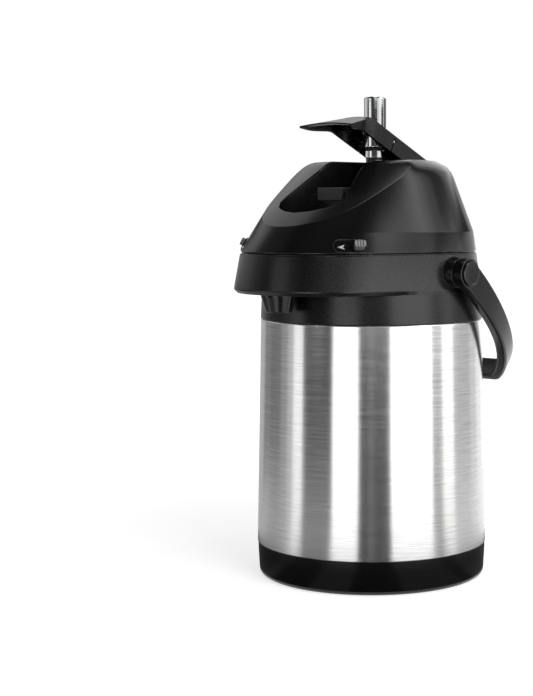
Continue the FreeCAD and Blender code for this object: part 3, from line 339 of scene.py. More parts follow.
# Spout nozzle: a plain hollow cone moulded in polished black plastic, open below.
# Its short stem plugs up into the beak's floor and takes the end of the silicone elbow.
NOZZLE_BORE, STEM_RADIUS, NOZZLE_TOP, NOZZLE_TIP = 2.8, 6.4, 205.5, 193.5
gloss_black = moulded_plastic("gloss_black_plastic", (0.003, 0.003, 0.0033), (0.005, 0.005, 0.0054),
                              0.14, 0.2, grain=0.01, edge_wear_and_highlight=0.02)
gloss_black.node_tree.nodes["Principled BSDF"].inputs["Coat Weight"].default_value = 0.1
nozzle = turned("spout_cone", [
    (NOZZLE_BORE, HOSE_END_Z, 0.2), (STEM_RADIUS, HOSE_END_Z, 0.5), (STEM_RADIUS, NOZZLE_TOP, 0.3),
    (12.5, NOZZLE_TOP, 0.4), (12.1, 203.8, 0.6), (9.0, NOZZLE_TIP, 1.0), (6.6, NOZZLE_TIP, 0.7),
    (5.4, 198.0, 0.8), (NOZZLE_BORE, 203.5, 0.5)], turns=96, middle=(0, NOZZLE_Y))
dress(nozzle, "pot", gloss_black, "gloss_black", "spout_nozzle")

# Collar: one moulding of satin black plastic. A round skirt hides the steel shoulder, a ledge swells out
# into the beak, and two bosses carry the handle while two ears behind hold the lid's hinge.
EYE_Y = -20.0
COLLAR_STEPS = 288
LEDGE, SEAM, UNDER_LEDGE = (79.5, 48.0, 65.0), (76.2, 44.0, 63.5), (77.0, 48.0, 62.5)
LEDGE_LOW, LEDGE_HIGH, SEAM_Z = 205.5, 208.0, 232.5
SKIRT_FOOT, SKIRT_TOP, SKIRT_WALL = 80.5, 79.62, 2.5
COLLAR_WALL, COLLAR_MOUTH, COLLAR_UNDER, COLLAR_FLOOR = 3.2, 49.1, 203.0, 209.0
RIM_STEP, RIM_RISE = 1.1, 0.75
SOFTENING = ((-2, 1), (-1, 2), (0, 3), (1, 2), (2, 1))


def to_round(angle, radius, middle_y=0.0):
    """Distance from the eye point to a circle on the middle plane, along an angle from the front."""
    off = EYE_Y - middle_y
    return off * math.cos(angle) + math.sqrt(radius ** 2 - (off * math.sin(angle)) ** 2)


def to_plain_egg(angle, back, reach, tip):
    """Distance from the eye point to an egg-shaped plan: back circle, front circle and tangent sides."""
    lean = (back - tip) / reach
    side = math.sqrt(1 - lean * lean)
    facing = side * abs(math.sin(angle)) + lean * math.cos(angle)
    if facing <= 1e-6:
        return to_round(angle, back)
    distance = (back + lean * EYE_Y) / facing
    y = EYE_Y - distance * math.cos(angle)
    if y > -lean * back:
        return to_round(angle, back)
    if y < -reach - lean * tip:
        return to_round(angle, tip, -reach)
    return distance


def to_egg(angle, back, reach, tip, swell=0.0):
    """The egg with its sides swelling softly into its ends, averaged over neighbouring angles."""
    if swell == 0:
        return to_plain_egg(angle, back, reach, tip)
    total = 0.0
    for step, weight in SOFTENING:
        total += weight * to_plain_egg(angle + step * swell, back, reach, tip)
    return total / sum(weight for _, weight in SOFTENING)


def part_way(low, high, share):
    """Plan numbers part-way between two stations."""
    return tuple(start + share * (end - start) for start, end in zip(low, high))


def rayed(name, profile_at, steps):
    """A piece swept round the eye point, from one (distance, height, corner radius) profile per angle."""
    points = []
    for step in range(steps):
        angle = 2 * math.pi * step / steps
        for distance, height in soft_corners(profile_at(angle)):
            points.append(Vector((distance * math.sin(angle), EYE_Y - distance * math.cos(angle),
                                  height)) * MM)
    return even_shading(piece_from(name, points, rings_to_faces(steps, len(points) // steps, True)))


def collar_profile(angle):
    """Skirt, ledge, beaked wall, rim and floor of the collar along one ray."""
    skirt_foot = to_round(angle, SKIRT_FOOT)
    skirt_top = to_round(angle, SKIRT_TOP)
    under = max(to_egg(angle, *UNDER_LEDGE), skirt_top + 0.05)
    ledge = max(to_egg(angle, *LEDGE), to_round(angle, LEDGE[0]))
    seam = to_egg(angle, *SEAM)
    floor = to_egg(angle, *part_way(LEDGE, SEAM, (COLLAR_FLOOR - LEDGE_HIGH) / (SEAM_Z - LEDGE_HIGH)))
    mouth = to_round(angle, COLLAR_MOUTH)
    return [(skirt_foot - SKIRT_WALL, CASING_RISE, 0.3), (skirt_foot, CASING_RISE, 0.6),
            (skirt_top, LEDGE_LOW - 0.1, 0.6), (under, LEDGE_LOW, 0.5), (ledge, LEDGE_HIGH, 1.6),
            (seam, SEAM_Z, 0.8), (seam - RIM_STEP, SEAM_Z, 0.1),
            (seam - RIM_STEP - 0.1, SEAM_Z + RIM_RISE, 0.2), (seam - COLLAR_WALL, SEAM_Z + RIM_RISE, 0.2),
            (floor - COLLAR_WALL, COLLAR_FLOOR, 1.0),
            (mouth, COLLAR_FLOOR, 0.4), (mouth, COLLAR_UNDER, 0.3),
            (skirt_top - SKIRT_WALL, COLLAR_UNDER, 0.5)]


collar_black = moulded_plastic("collar_black_plastic", BLACK_DARK, BLACK_LIGHT, 0.24, 0.3)
collar = rayed("collar_body", collar_profile, COLLAR_STEPS)
dress(collar, "pot", collar_black, "satin_black", "collar")


def laid(piece, matrix):
    """Turn and move a piece's own mesh."""
    piece.data.transform(matrix)
    piece.data.update()
    return piece


def along_x(x, y, z):
    """Lays a turned piece on its side, pointing to +X from a place in millimetres."""
    return Matrix.Translation(Vector((x, y, z)) * MM) @ Matrix.Rotation(math.pi / 2, 4, "Y")


def soft_box(name, low, high, round_by):
    """A block between two corners in millimetres with rounded edges."""
    solid = bmesh.new()
    bmesh.ops.create_cube(solid, size=1.0)
    low, high = Vector(low) * MM, Vector(high) * MM
    for corner in solid.verts:
        corner.co = Vector((low[axis] + (corner.co[axis] + 0.5) * (high[axis] - low[axis])
                            for axis in range(3)))
    bmesh.ops.bevel(solid, geom=solid.edges[:], offset=round_by * MM, segments=3, profile=0.5, affect="EDGES")
    mesh = bpy.data.meshes.new(name)
    solid.to_mesh(mesh)
    solid.free()
    mesh.shade_smooth()
    return even_shading(placed(name, mesh))


PIVOT_Z, PIVOT_BORE, BOSS_X, BOSS_LONG = 219.5, 4.1, 73.2, 10.0
HINGE_Y, HINGE_BORE, HINGE_ROUND = 84.0, 2.1, 5.0
EAR_NEAR, EAR_LONG = 7.8, 8.0
EAR_FAR = EAR_NEAR + EAR_LONG
FLIP_X = Vector((1, 0, 0))
HANDS = ((1, "right"), (-1, "left"))


def on_pivot(piece, side, x):
    """Lay a turned piece on the handle's pivot line, pointing out to one side of the pot."""
    laid(piece, Matrix.Scale(side, 4, FLIP_X) @ along_x(x, 0.0, PIVOT_Z))
    if side < 0:
        piece.data.flip_normals()
    return piece


def barrel(name, outside, length, edge, turns=48):
    """A bored barrel for a hinge pin."""
    return turned(name, [(HINGE_BORE, 0.0, 0.2), (outside, 0.0, edge), (outside, length, edge),
                         (HINGE_BORE, length, 0.2)], turns)


steel_hardware = brushed_steel("bright_hardware_steel", (0.70, 0.70, 0.69), 0.20, 0.32)
for side, hand in HANDS:
    boss = turned("handle_boss_" + hand, [
        (PIVOT_BORE, 0.0, 0.0), (12.0, 0.0, 0.0), (11.0, 6.0, 1.0), (10.4, BOSS_LONG, 0.5),
        (PIVOT_BORE, BOSS_LONG, 0.3)], turns=72)
    in_black(on_pivot(boss, side, BOSS_X), "pot", "collar")
    ear = barrel("hinge_ear_barrel_" + hand, HINGE_ROUND, EAR_LONG, 0.5)
    laid(ear, along_x(EAR_NEAR if side > 0 else -EAR_FAR, HINGE_Y, SEAM_Z))
    in_black(ear, "pot", "collar")
    low_x, high_x = sorted((side * EAR_NEAR, side * EAR_FAR))
    web = soft_box("hinge_ear_web_" + hand, (low_x, 73.5, 227.5), (high_x, HINGE_Y - 0.2, 232.4), 0.7)
    in_black(web, "pot", "collar")
paint(steel_hardware, "lid_hinge_pin", "handle_pins")

# Head: the hinged lid, one hollow moulding of satin black plastic. Its cheeks lean in from the seam to a
# crease, the crowned deck above slopes down to the beak, and the lever's pocket is sunk into the deck.
HEAD_STEPS, CHEEK_STEPS, HALVINGS = 288, 12, 40
HEAD_FOOT, BAND_Z, BROW_Z, CREST_Z = 233.5, 248.0, 287.0, 298.9
CHEEK_SWELL = math.radians(12.0)
FOOT = (*SEAM, 0.0)
BAND = (74.0, 35.5, 61.0, CHEEK_SWELL / 2)
BROW = (60.0, 13.0, 53.0, CHEEK_SWELL)
CREST_LEAN = math.atan2(BAND[0] - BROW[0], BROW_Z - BAND_Z)
CREST_ROUND = (CREST_Z - BROW_Z) / (1 - math.sin(CREST_LEAN))
DECK_TOP, DECK_FOOT_Y, DECK_FOOT_Z = 298.5, -96.0, 250.0
DECK_SLOPE, DECK_CROWN, DECK_EASE = math.radians(35.0), 130.0, 4.6
HEAD_WALL, POCKET_WALL, POCKET_FLOOR, FLOOR_SKIN, LEAST_DECK = 3.2, 2.2, 256.0, 2.4, 2.0


def cheek_plan(height):
    """Egg-shaped plan of the head's wall at a height."""
    if height <= BAND_Z:
        return part_way(FOOT, BAND, (height - HEAD_FOOT) / (BAND_Z - HEAD_FOOT))
    if height <= BROW_Z:
        return part_way(BAND, BROW, (height - BAND_Z) / (BROW_Z - BAND_Z))
    turn = math.asin(min(1.0, (height - BROW_Z) / CREST_ROUND + math.sin(CREST_LEAN)))
    back = BROW[0] - CREST_ROUND * (math.cos(CREST_LEAN) - math.cos(turn))
    reach = BROW[1] * back / BROW[0]
    return back, reach, back - (BROW[0] - BROW[2]) / BROW[1] * reach, CHEEK_SWELL


def deck_height(x, y):
    """Height of the deck: a flat top that eases over into a straight, crowned slope to the front."""
    slope = DECK_FOOT_Z + (y - DECK_FOOT_Y) * math.tan(DECK_SLOPE) - x ** 2 / (2 * DECK_CROWN)
    share = min(1.0, max(0.0, 0.5 + (DECK_TOP - slope) / (2 * DECK_EASE)))
    return slope * share + DECK_TOP * (1 - share) - DECK_EASE * share * (1 - share)


def deck_on_ray(angle, distance):
    """Height of the deck at a distance from the eye point."""
    return deck_height(distance * math.sin(angle), EYE_Y - distance * math.cos(angle))


def settled(too_low):
    """The height on the cheek at which a test turns over, found by halving."""
    low, high = BAND_Z, CREST_Z
    for _ in range(HALVINGS):
        middle = (low + high) / 2
        if too_low(middle):
            low = middle
        else:
            high = middle
    return low


def crease_on_ray(angle):
    """Height at which the cheek meets the deck."""
    return settled(lambda height: deck_on_ray(angle, to_egg(angle, *cheek_plan(height))) > height)


def height_of_cheek(angle, distance):
    """Height at which the cheek stands at a given distance from the eye point."""
    return settled(lambda height: to_egg(angle, *cheek_plan(height)) > distance)


def both_sides(half):
    """A plan's right half, followed by its mirror image."""
    return half + [(-spot[0], *spot[1:]) for spot in reversed(half)]


pocket_half = [(12.0, -77.5, 30.0), (23.5, -71.5, 12.0), (30.0, -63.0, 9.0), (19.0, -33.0, 14.0),
               (19.0, 53.0, 3.0)]
pocket_outline = soft_corners([(0.0, -79.5, 0.0)] + both_sides(pocket_half), steps=8)


def pocket_on_ray(angle):
    """Distance from the eye point to the pocket's rim in plan."""
    heading = Vector((math.sin(angle), -math.cos(angle)))
    found = 0.0
    for start, end in zip(pocket_outline, pocket_outline[1:] + pocket_outline[:1]):
        run = end - start
        cross = heading.x * run.y - heading.y * run.x
        if abs(cross) < 1e-9:
            continue
        gap = start - Vector((0.0, EYE_Y))
        distance = (gap.x * run.y - gap.y * run.x) / cross
        share = (gap.x * heading.y - gap.y * heading.x) / cross
        if distance > 0 and -1e-6 <= share <= 1 + 1e-6:
            found = max(found, distance)
    return found


def head_profile(angle):
    """Inside, lip, cheek, crease, deck, pocket wall and pocket floor of the head along one ray."""
    rim = pocket_on_ray(angle)
    crease_z = crease_on_ray(angle)
    crease = to_egg(angle, *cheek_plan(crease_z))
    if crease < rim + LEAST_DECK:
        crease = rim + LEAST_DECK
        crease_z = height_of_cheek(angle, crease)
    foot = to_egg(angle, *FOOT)
    band = to_egg(angle, *BAND)
    cheek = []
    deck = []
    for step in range(1, CHEEK_STEPS):
        height = BAND_Z + (crease_z - BAND_Z) * step / CHEEK_STEPS
        cheek.append((to_egg(angle, *cheek_plan(height)), height, 0.0))
        distance = crease + (rim - crease) * step / CHEEK_STEPS
        deck.append((distance, min(deck_on_ray(angle, distance), height_of_cheek(angle, distance)), 0.0))
    rim_z = min(deck_on_ray(angle, rim), height_of_cheek(angle, rim))
    inside = min(rim + POCKET_WALL, crease - 1.2)
    inner = [(0.0, POCKET_FLOOR - FLOOR_SKIN, 0.0), (inside, POCKET_FLOOR - FLOOR_SKIN, 0.0),
             (inside, rim_z - HEAD_WALL, 0.0), (max(crease - 3.6, inside + 0.3), crease_z - 3.8, 0.0),
             (band - HEAD_WALL, BAND_Z, 0.0)]
    lip = [(foot - HEAD_WALL, HEAD_FOOT, 0.3), (foot, HEAD_FOOT, 0.9), (band, BAND_Z, 1.6)]
    pocket = [(rim, rim_z, 1.1), (rim - 0.7, POCKET_FLOOR, 2.0), (0.0, POCKET_FLOOR, 0.0)]
    return inner + lip + cheek + [(crease, crease_z, 1.5)] + deck + pocket


def cut_away(piece, cutters):
    """Cut tools out of a piece and throw the tools away."""
    for cutter in cutters:
        cut = piece.modifiers.new("cut", "BOOLEAN")
        cut.object = cutter
        cut.operation = "DIFFERENCE"
        cut.solver = "EXACT"
        scene_now = bpy.context.evaluated_depsgraph_get()
        plain = [other for other in piece.modifiers if other != cut]
        for other in plain:
            other.show_viewport = False
        scene_now.update()
        carved = bpy.data.meshes.new_from_object(piece.evaluated_get(scene_now))
        piece.modifiers.remove(cut)
        for other in plain:
            other.show_viewport = True
        piece.data = carved
        bpy.data.objects.remove(cutter)


def as_tool(piece):
    """A cutting tool goes without shading aids."""
    piece.modifiers.clear()
    return piece


def prism(name, plan, low, high):
    """An upright block on a flat plan, in millimetres."""
    count = len(plan)
    points = [Vector((x, y, low)) * MM for x, y in plan] + [Vector((x, y, high)) * MM for x, y in plan]
    faces = [tuple(range(count)), tuple(range(count, 2 * count))]
    for spot in range(count):
        beside = (spot + 1) % count
        faces.append((spot, beside, count + beside, count + spot))
    return piece_from(name, points, faces)


def oblong(left, right, low, high, radius, steps):
    """A flat oblong with rounded corners."""
    return soft_corners([(left, low, radius), (right, low, radius), (right, high, radius),
                         (left, high, radius)], steps=steps)


def oval(length, height, grow=0.0):
    """A long oval with round ends."""
    half, radius = length / 2 + grow, height / 2 + grow
    return oblong(-half, half, -radius, radius, radius * 0.999, 8)


LATCH_TURN, LATCH_Z = math.radians(53.5), 239.0
OVAL_LENGTH, OVAL_HEIGHT, OVAL_DEPTH, OVAL_REACH = 22.5, 9.0, 1.6, 6.0


def cheek_spot(plan, height):
    """The place on the beak's round end, at the latch's angle, for a plan and a height."""
    _, reach, tip = plan[:3]
    return Vector((tip * math.sin(LATCH_TURN), -reach - tip * math.cos(LATCH_TURN), height))


latch_foot, latch_band = cheek_spot(FOOT, HEAD_FOOT), cheek_spot(BAND, BAND_Z)
latch_rear = Vector((math.cos(LATCH_TURN), math.sin(LATCH_TURN), 0))
latch_out = latch_rear.cross(latch_band - latch_foot).normalized()
latch_up = latch_out.cross(latch_rear)
latch_spot = latch_foot.lerp(latch_band, (LATCH_Z - HEAD_FOOT) / (BAND_Z - HEAD_FOOT))
latch_axes = Matrix((latch_rear, latch_up, latch_out)).transposed().to_4x4()
on_cheek = Matrix.Translation(latch_spot * MM) @ latch_axes
cheeks = {"right": on_cheek, "left": Matrix.Scale(-1, 4, FLIP_X) @ on_cheek}
POST_Y, POST_BORE = 4.0, 7.6


def post_bore(name, low, high):
    """A round tool on the post's line, for the bores that the pump's rod passes through."""
    return as_tool(turned(name, [(0.0, low, 0.0), (POST_BORE, low, 0.0), (POST_BORE, high, 0.0),
                                 (0.0, high, 0.0)], turns=48, middle=(0.0, POST_Y)))


SHARP_FROM = math.radians(50)
head = rayed("head_moulding", head_profile, HEAD_STEPS)
recess_tools = [post_bore("floor_bore_tool", POCKET_FLOOR - 6.0, POCKET_FLOOR + 4.0)]
for hand, place in cheeks.items():
    recess = prism("recess_" + hand, oval(OVAL_LENGTH, OVAL_HEIGHT), -OVAL_DEPTH, OVAL_REACH)
    recess_tools.append(laid(recess, place))
cut_away(head, recess_tools)
head.data.set_sharp_from_angle(angle=SHARP_FROM)
in_black(head, "lid", "head_shell")


def bevelled(piece, width, segments=3, angle=35.0):
    """Round every sharp edge of a piece."""
    softened = piece.modifiers.new("rounded_edges", "BEVEL")
    softened.width = width * MM
    softened.segments = segments
    softened.limit_method = "ANGLE"
    softened.angle_limit = math.radians(angle)
    softened.harden_normals = False
    return even_shading(piece)


SHELF_TOP = 275.5
TOWER_HALF, TOWER_FRONT, TOWER_REAR, TOWER_LOW, TOWER_TOP = 11.7, -45.0, -14.0, 269.6, 279.0
KNUCKLE_HALF = 7.5
shelf_half = [(22.8, -42.6), (19.6, -33.0), (19.6, 53.4)]
shelf = prism("pump_shelf", both_sides(shelf_half), POCKET_FLOOR - 1.0, SHELF_TOP)
cut_away(shelf, [post_bore("shelf_bore_tool", POCKET_FLOOR - 16.0, POCKET_FLOOR + 34.0)])
in_black(bevelled(shelf, 0.5), "lid", "head_shell")
tower = soft_box("pump_tower", (-TOWER_HALF, TOWER_FRONT, TOWER_LOW),
                 (TOWER_HALF, TOWER_REAR, TOWER_TOP), 0.7)
# The tower is part of the black head moulding; its lighter grey is painted light, so that the block looks lit
# inside the dark pocket.
tower_black_painted_lit = moulded_plastic("tower_grey_plastic", (0.024, 0.024, 0.025), (0.034, 0.034, 0.035), 0.3, 0.4)
dress(tower, "lid", tower_black_painted_lit, "satin_black", "head_shell")
knuckle = barrel("lid_knuckle", HINGE_ROUND, 2 * KNUCKLE_HALF, 0.5)
laid(knuckle, along_x(-KNUCKLE_HALF, HINGE_Y, SEAM_Z))
in_black(knuckle, "lid", "head_shell")
knuckle_web = soft_box("lid_knuckle_web", (-KNUCKLE_HALF, 72.5, 233.6), (KNUCKLE_HALF, 84.2, 237.5), 0.8)
in_black(knuckle_web, "lid", "head_shell")

# Latches: two grey thumb sliders of moulded plastic, each in an oval recess low on the head's cheek.
# A fine lip frames the oval, and a plain arrow beside the grooved pad shows which way it slides.
latch_grey = moulded_plastic("latch_grey_plastic", (0.15, 0.15, 0.155), (0.21, 0.21, 0.21), 0.38, 0.5,
                             edge_wear_and_highlight=0.12)
arrow_white = moulded_plastic("arrow_pale_plastic", (0.38, 0.38, 0.38), (0.46, 0.46, 0.46), 0.4, 0.5,
                              edge_wear_and_highlight=0.05)
PAD_LENGTH, PAD_HEIGHT, PAD_REST, PAD_TOP, PAD_FOOT, PAD_ROUND = 7.7, 5.4, 6.45, 4.6, -1.3, 1.9
GROOVE_STEP, GROOVE_HALF, GROOVE_DEPTH = 1.9, 0.5, 1.1
LIP_RINGS = ((-0.05, -0.5), (-0.05, 0.12), (0.12, 0.3), (0.4, 0.3), (0.62, 0.1), (0.66, -0.4))
ARROW_PLAN = [(-8.4, 0.0), (-3.3, -1.9), (-4.5, 0.0), (-3.3, 1.9)]
LATCH_BACKS = (("stem", 1.5, 1.5, -5.8, -1.2, 0.2), ("keeper", 3.8, 2.7, -6.0, -4.4, 0.3))
pad_plan = oblong(PAD_REST - PAD_LENGTH / 2, PAD_REST + PAD_LENGTH / 2, -PAD_HEIGHT / 2, PAD_HEIGHT / 2,
                  PAD_ROUND, 6)


def oval_lip(name):
    """A low rounded bead round the recess."""
    rings = []
    for grow, lift in LIP_RINGS:
        rings += [Vector((x, y, lift)) * MM for x, y in oval(OVAL_LENGTH, OVAL_HEIGHT, grow)]
    return piece_from(name, rings, rings_to_faces(len(LIP_RINGS), len(rings) // len(LIP_RINGS), True))


for hand, place in cheeks.items():
    body, node = hand + "_latch", "latch_" + hand
    lip = laid(oval_lip("recess_lip_" + hand), place)
    in_black(lip, "lid", "head_shell")
    arrow = prism("slide_arrow_" + hand, ARROW_PLAN, -OVAL_DEPTH - 0.2, -OVAL_DEPTH + 0.3)
    dress(bevelled(laid(arrow, place), 0.1, 2), "lid", arrow_white, "latch_grey", "head_shell")
    pad = prism("thumb_pad_" + hand, pad_plan, PAD_FOOT, PAD_TOP)
    grooves = []
    for step in (-1, 0, 1):
        across = PAD_REST + step * GROOVE_STEP
        groove = soft_box("groove_tool", (across - GROOVE_HALF, -4.0, PAD_TOP - GROOVE_DEPTH),
                          (across + GROOVE_HALF, 4.0, PAD_TOP + 2.0), 0.05)
        grooves.append(as_tool(groove))
    cut_away(pad, grooves)
    dress(bevelled(laid(pad, place), 0.2, 2, 25.0), body, latch_grey, "latch_grey", node)
    for part, half_long, half_high, low, high, edge in LATCH_BACKS:
        block = soft_box("latch_" + part + "_" + hand, (PAD_REST - half_long, -half_high, low),
                         (PAD_REST + half_long, half_high, high), edge)
        dress(laid(block, place), body, latch_grey, "latch_grey", node)

# Underside of the lid: a flat plastic plate held by four screws, with a rubber sleeve and a mushroom valve
# that pass the pumped air down through the stopper.
paint(inner_plastic, "lid_underplate")
paint(steel_hardware, "lid_screws")
ON_POST = (0.0, POST_Y)
AIR_BORE, AIR_RADIUS, AIR_LOW, AIR_HIGH = 7.0, 10.0, 220.3, 233.4
seal = turned("air_sleeve", [
    (AIR_BORE, AIR_LOW, 0.4), (8.6, AIR_LOW, 0.8), (AIR_RADIUS, 222.0, 0.8), (AIR_RADIUS, AIR_HIGH, 0.5),
    (AIR_BORE, AIR_HIGH, 0.4)], turns=72, middle=ON_POST)
dress(seal, "lid", rubber, "black_rubber", "air_seal")
VALVE_STEM, VALVE_LOW, VALVE_SEAT, VALVE_TOP = 6.9, 233.6, 236.6, 238.0
valve = turned("mushroom_valve", [
    (0.0, VALVE_LOW, 0.0), (VALVE_STEM, VALVE_LOW, 0.5), (VALVE_STEM, VALVE_SEAT, 0.3),
    (10.9, VALVE_SEAT, 0.3), (10.2, 237.7, 0.5), (4.0, VALVE_TOP, 1.0), (0.0, VALVE_TOP, 0.0)],
    turns=72, middle=ON_POST)
dress(valve, "lid", rubber, "black_rubber", "air_valve")

# Pump: a folded rubber bellows with a coil spring inside it, pushed down by a disc on a steel rod.
# In the pot they shorten together as the disc comes down; here both are built full length, each with its own
# mesh.
BELLOWS_LOW, BELLOWS_HIGH, STROKE = 236.7, 268.3, 17.58
BELLOWS_LONG = BELLOWS_HIGH - BELLOWS_LOW
FOLDS, FOLD_OUT, FOLD_IN, BELLOWS_SKIN, FOLD_ROUND = 8, 43.0, 36.0, 1.4, 1.2
outside = [(FOLD_OUT if step % 2 else FOLD_IN, BELLOWS_LOW + BELLOWS_LONG / FOLDS * step, FOLD_ROUND)
           for step in range(FOLDS + 1)]
inside = [(radius - BELLOWS_SKIN, height, FOLD_ROUND) for radius, height, _ in reversed(outside)]
bellows = turned("pump_bellows", outside + inside, turns=128, middle=ON_POST)
dress(bellows, "lid", rubber, "black_rubber", "bellows")
SPRING_RADIUS, SPRING_WIRE, SPRING_TURNS, TURN_STEPS = 15.0, 1.0, 5, 48
coil = []
for step in range(SPRING_TURNS * TURN_STEPS + 1):
    turn = 2 * math.pi * step / TURN_STEPS
    rise = (BELLOWS_LOW + SPRING_WIRE
            + (BELLOWS_LONG - 2 * SPRING_WIRE) * step / (SPRING_TURNS * TURN_STEPS))
    coil.append(Vector((SPRING_RADIUS * math.cos(turn), POST_Y + SPRING_RADIUS * math.sin(turn), rise)) * MM)
spring = tube_along("pump_spring", coil, SPRING_WIRE * MM, sides=12)
dress(spring, "lid", steel_hardware, "steel_hardware", "return_spring")
for piece in (bellows, spring):
    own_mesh(piece)
paint(inner_plastic, "plunger_plate")
paint(steel_hardware, "plunger_rod")
paint(satin_black, "guide_bush")

# Post and lock knob: turned and chrome-plated. The post stands on a black sleeve and has a rubber ring in
# its groove and a slot for the cross pin, and the plain knob on top turns to lock the pump for carrying.
PIN_Y, PIN_Z = 7.0, 313.3
POST_FOOT, SLEEVE_TOP, SLEEVE_RADIUS, POST_TOP, POST_RADIUS = 280.0, 300.4, 6.7, 322.0, 8.0
CUFF_RADIUS, GROOVE_LOW, GROOVE_HIGH, GROOVE_RADIUS, RING_RADIUS = 7.25, 306.4, 308.6, 5.6, 7.3
KNOB_STEM, STEM_FOOT, KNOB_FOOT, KNOB_RADIUS, KNOB_TOP = 3.9, 317.1, 322.3, 8.1, 345.4


def plated_chrome(name):
    """Bright chrome plate with faint polishing haze and a few fine wipe marks."""
    finish, shader, add, feed, place = new_finish(name)
    haze = noise(add, place, 220.0, 6.0, 0.7)
    wiped = add("ShaderNodeMapping", {"Vector": place, "Scale": (500.0, 500.0, 3000.0)})
    marks = noise(add, wiped.outputs[0], 1.0, 2.0)
    tint = blend(add, haze, (0.80, 0.81, 0.82, 1), (0.88, 0.885, 0.89, 1))
    surface(add, feed, tint, ranged(add, haze, 0.3, 0.75, 0.05, 0.13), marks, 0.02, 0.0001)
    shader.inputs["Metallic"].default_value = 1.0
    return finish


chrome = plated_chrome("plated_chrome")
post_sleeve = turned("post_sleeve", [
    (0.0, POST_FOOT, 0.0), (SLEEVE_RADIUS, POST_FOOT, 0.5), (SLEEVE_RADIUS, SLEEVE_TOP + 0.4, 0.1),
    (0.0, SLEEVE_TOP + 0.4, 0.0)], turns=96, middle=ON_POST)
dress(post_sleeve, "plunger", gloss_black, "gloss_black", "plunger_post")
post = turned("chrome_post", [
    (0.0, SLEEVE_TOP, 0.0), (6.5, SLEEVE_TOP, 0.1), (CUFF_RADIUS, SLEEVE_TOP + 0.9, 0.3),
    (CUFF_RADIUS, GROOVE_LOW, 0.5), (GROOVE_RADIUS, GROOVE_LOW, 0.1), (GROOVE_RADIUS, GROOVE_HIGH, 0.1),
    (POST_RADIUS, GROOVE_HIGH, 0.7), (POST_RADIUS, POST_TOP, 0.5), (0.0, POST_TOP, 0.0)],
    turns=96, middle=ON_POST)
pin_slot = soft_box("pin_slot_tool", (-12.0, PIN_Y - 8.5, PIN_Z - 2.5), (12.0, PIN_Y + 2.5, PIN_Z + 2.5), 0.6)
cut_away(post, [as_tool(pin_slot)])
post.data.set_sharp_from_angle(angle=SHARP_FROM)
dress(post, "plunger", chrome, "chrome", "plunger_post")
post_ring = turned("post_groove_ring", [
    (GROOVE_RADIUS - 0.1, GROOVE_LOW + 0.1, 0.3), (RING_RADIUS, GROOVE_LOW + 0.1, 0.8),
    (RING_RADIUS, GROOVE_HIGH - 0.1, 0.8), (GROOVE_RADIUS - 0.1, GROOVE_HIGH - 0.1, 0.3)],
    turns=72, middle=ON_POST)
dress(post_ring, "plunger", rubber, "black_rubber", "plunger_post")
knob = turned("lock_knob_cap", [
    (0.0, STEM_FOOT, 0.0), (KNOB_STEM, STEM_FOOT, 0.4), (KNOB_STEM, KNOB_FOOT, 0.1),
    (KNOB_RADIUS, KNOB_FOOT, 0.5), (KNOB_RADIUS, KNOB_TOP - 0.3, 1.5), (6.0, KNOB_TOP - 0.05, 3.0),
    (0.0, KNOB_TOP, 0.0)], turns=128, middle=ON_POST)
dress(knob, "lock", chrome, "chrome", "lock_knob")

# Pump lever: a channel moulded in satin black plastic, with a broad thin paddle, a knee and a straight arm
# down to its hinge. Its top is slotted for the post, and each side wall is slit below the cross pin.
TIP_Y, TIP_Z, TIP_THICK, TIP_EDGE, TIP_GROWTH = -49.0, 323.0, 3.4, 1.5, 0.24
KNEE_Y, KNEE_Z = -17.0, 328.6
LEVER_HINGE_Y, LEVER_HINGE_Z, LUG_ROUND, LUG_NEAR, LUG_LONG = 44.0, 292.5, 6.5, 9.0, 7.0
ARM_RUN, ARM_FALL = LEVER_HINGE_Y - KNEE_Y, KNEE_Z - LEVER_HINGE_Z
ARM_DIP = math.atan2(ARM_FALL, ARM_RUN) - math.asin(LUG_ROUND / math.hypot(ARM_FALL, ARM_RUN))
ARM_DEPTH = 12.2 / math.cos(ARM_DIP)
ARM_HALF, PADDLE_WIDENING, PADDLE_ROOT = 16.0, 9.0, -25.0
SKIN, LEVER_CROWN, CROWN_FADE, ACROSS = 2.5, 1.6, 24.0, 10
LEVER_THROW, LEVER_SHARP = math.radians(25.0), 32.0
SLOT_HALF = 8.9
PIN_HALF, PIN_RADIUS = 16.0, 2.0


def lever_top(y):
    """Height of the lever's upper face along its length."""
    if y <= KNEE_Y:
        return TIP_Z + (KNEE_Z - TIP_Z) * (y - TIP_Y) / (KNEE_Y - TIP_Y)
    return KNEE_Z - (y - KNEE_Y) * math.tan(ARM_DIP)


def lever_foot(y):
    """Height of the lever's lower edge along its length."""
    arm_line = KNEE_Z - (y - KNEE_Y) * math.tan(ARM_DIP) - ARM_DEPTH
    thick = min(TIP_THICK, TIP_EDGE + TIP_GROWTH * (y - TIP_Y))
    return min(TIP_Z - thick, arm_line)


def lever_half(y):
    """Half width: the paddle draws in to the arm."""
    if y >= PADDLE_ROOT:
        return ARM_HALF
    return ARM_HALF + PADDLE_WIDENING * (y - PADDLE_ROOT) / (TIP_Y - PADDLE_ROOT)


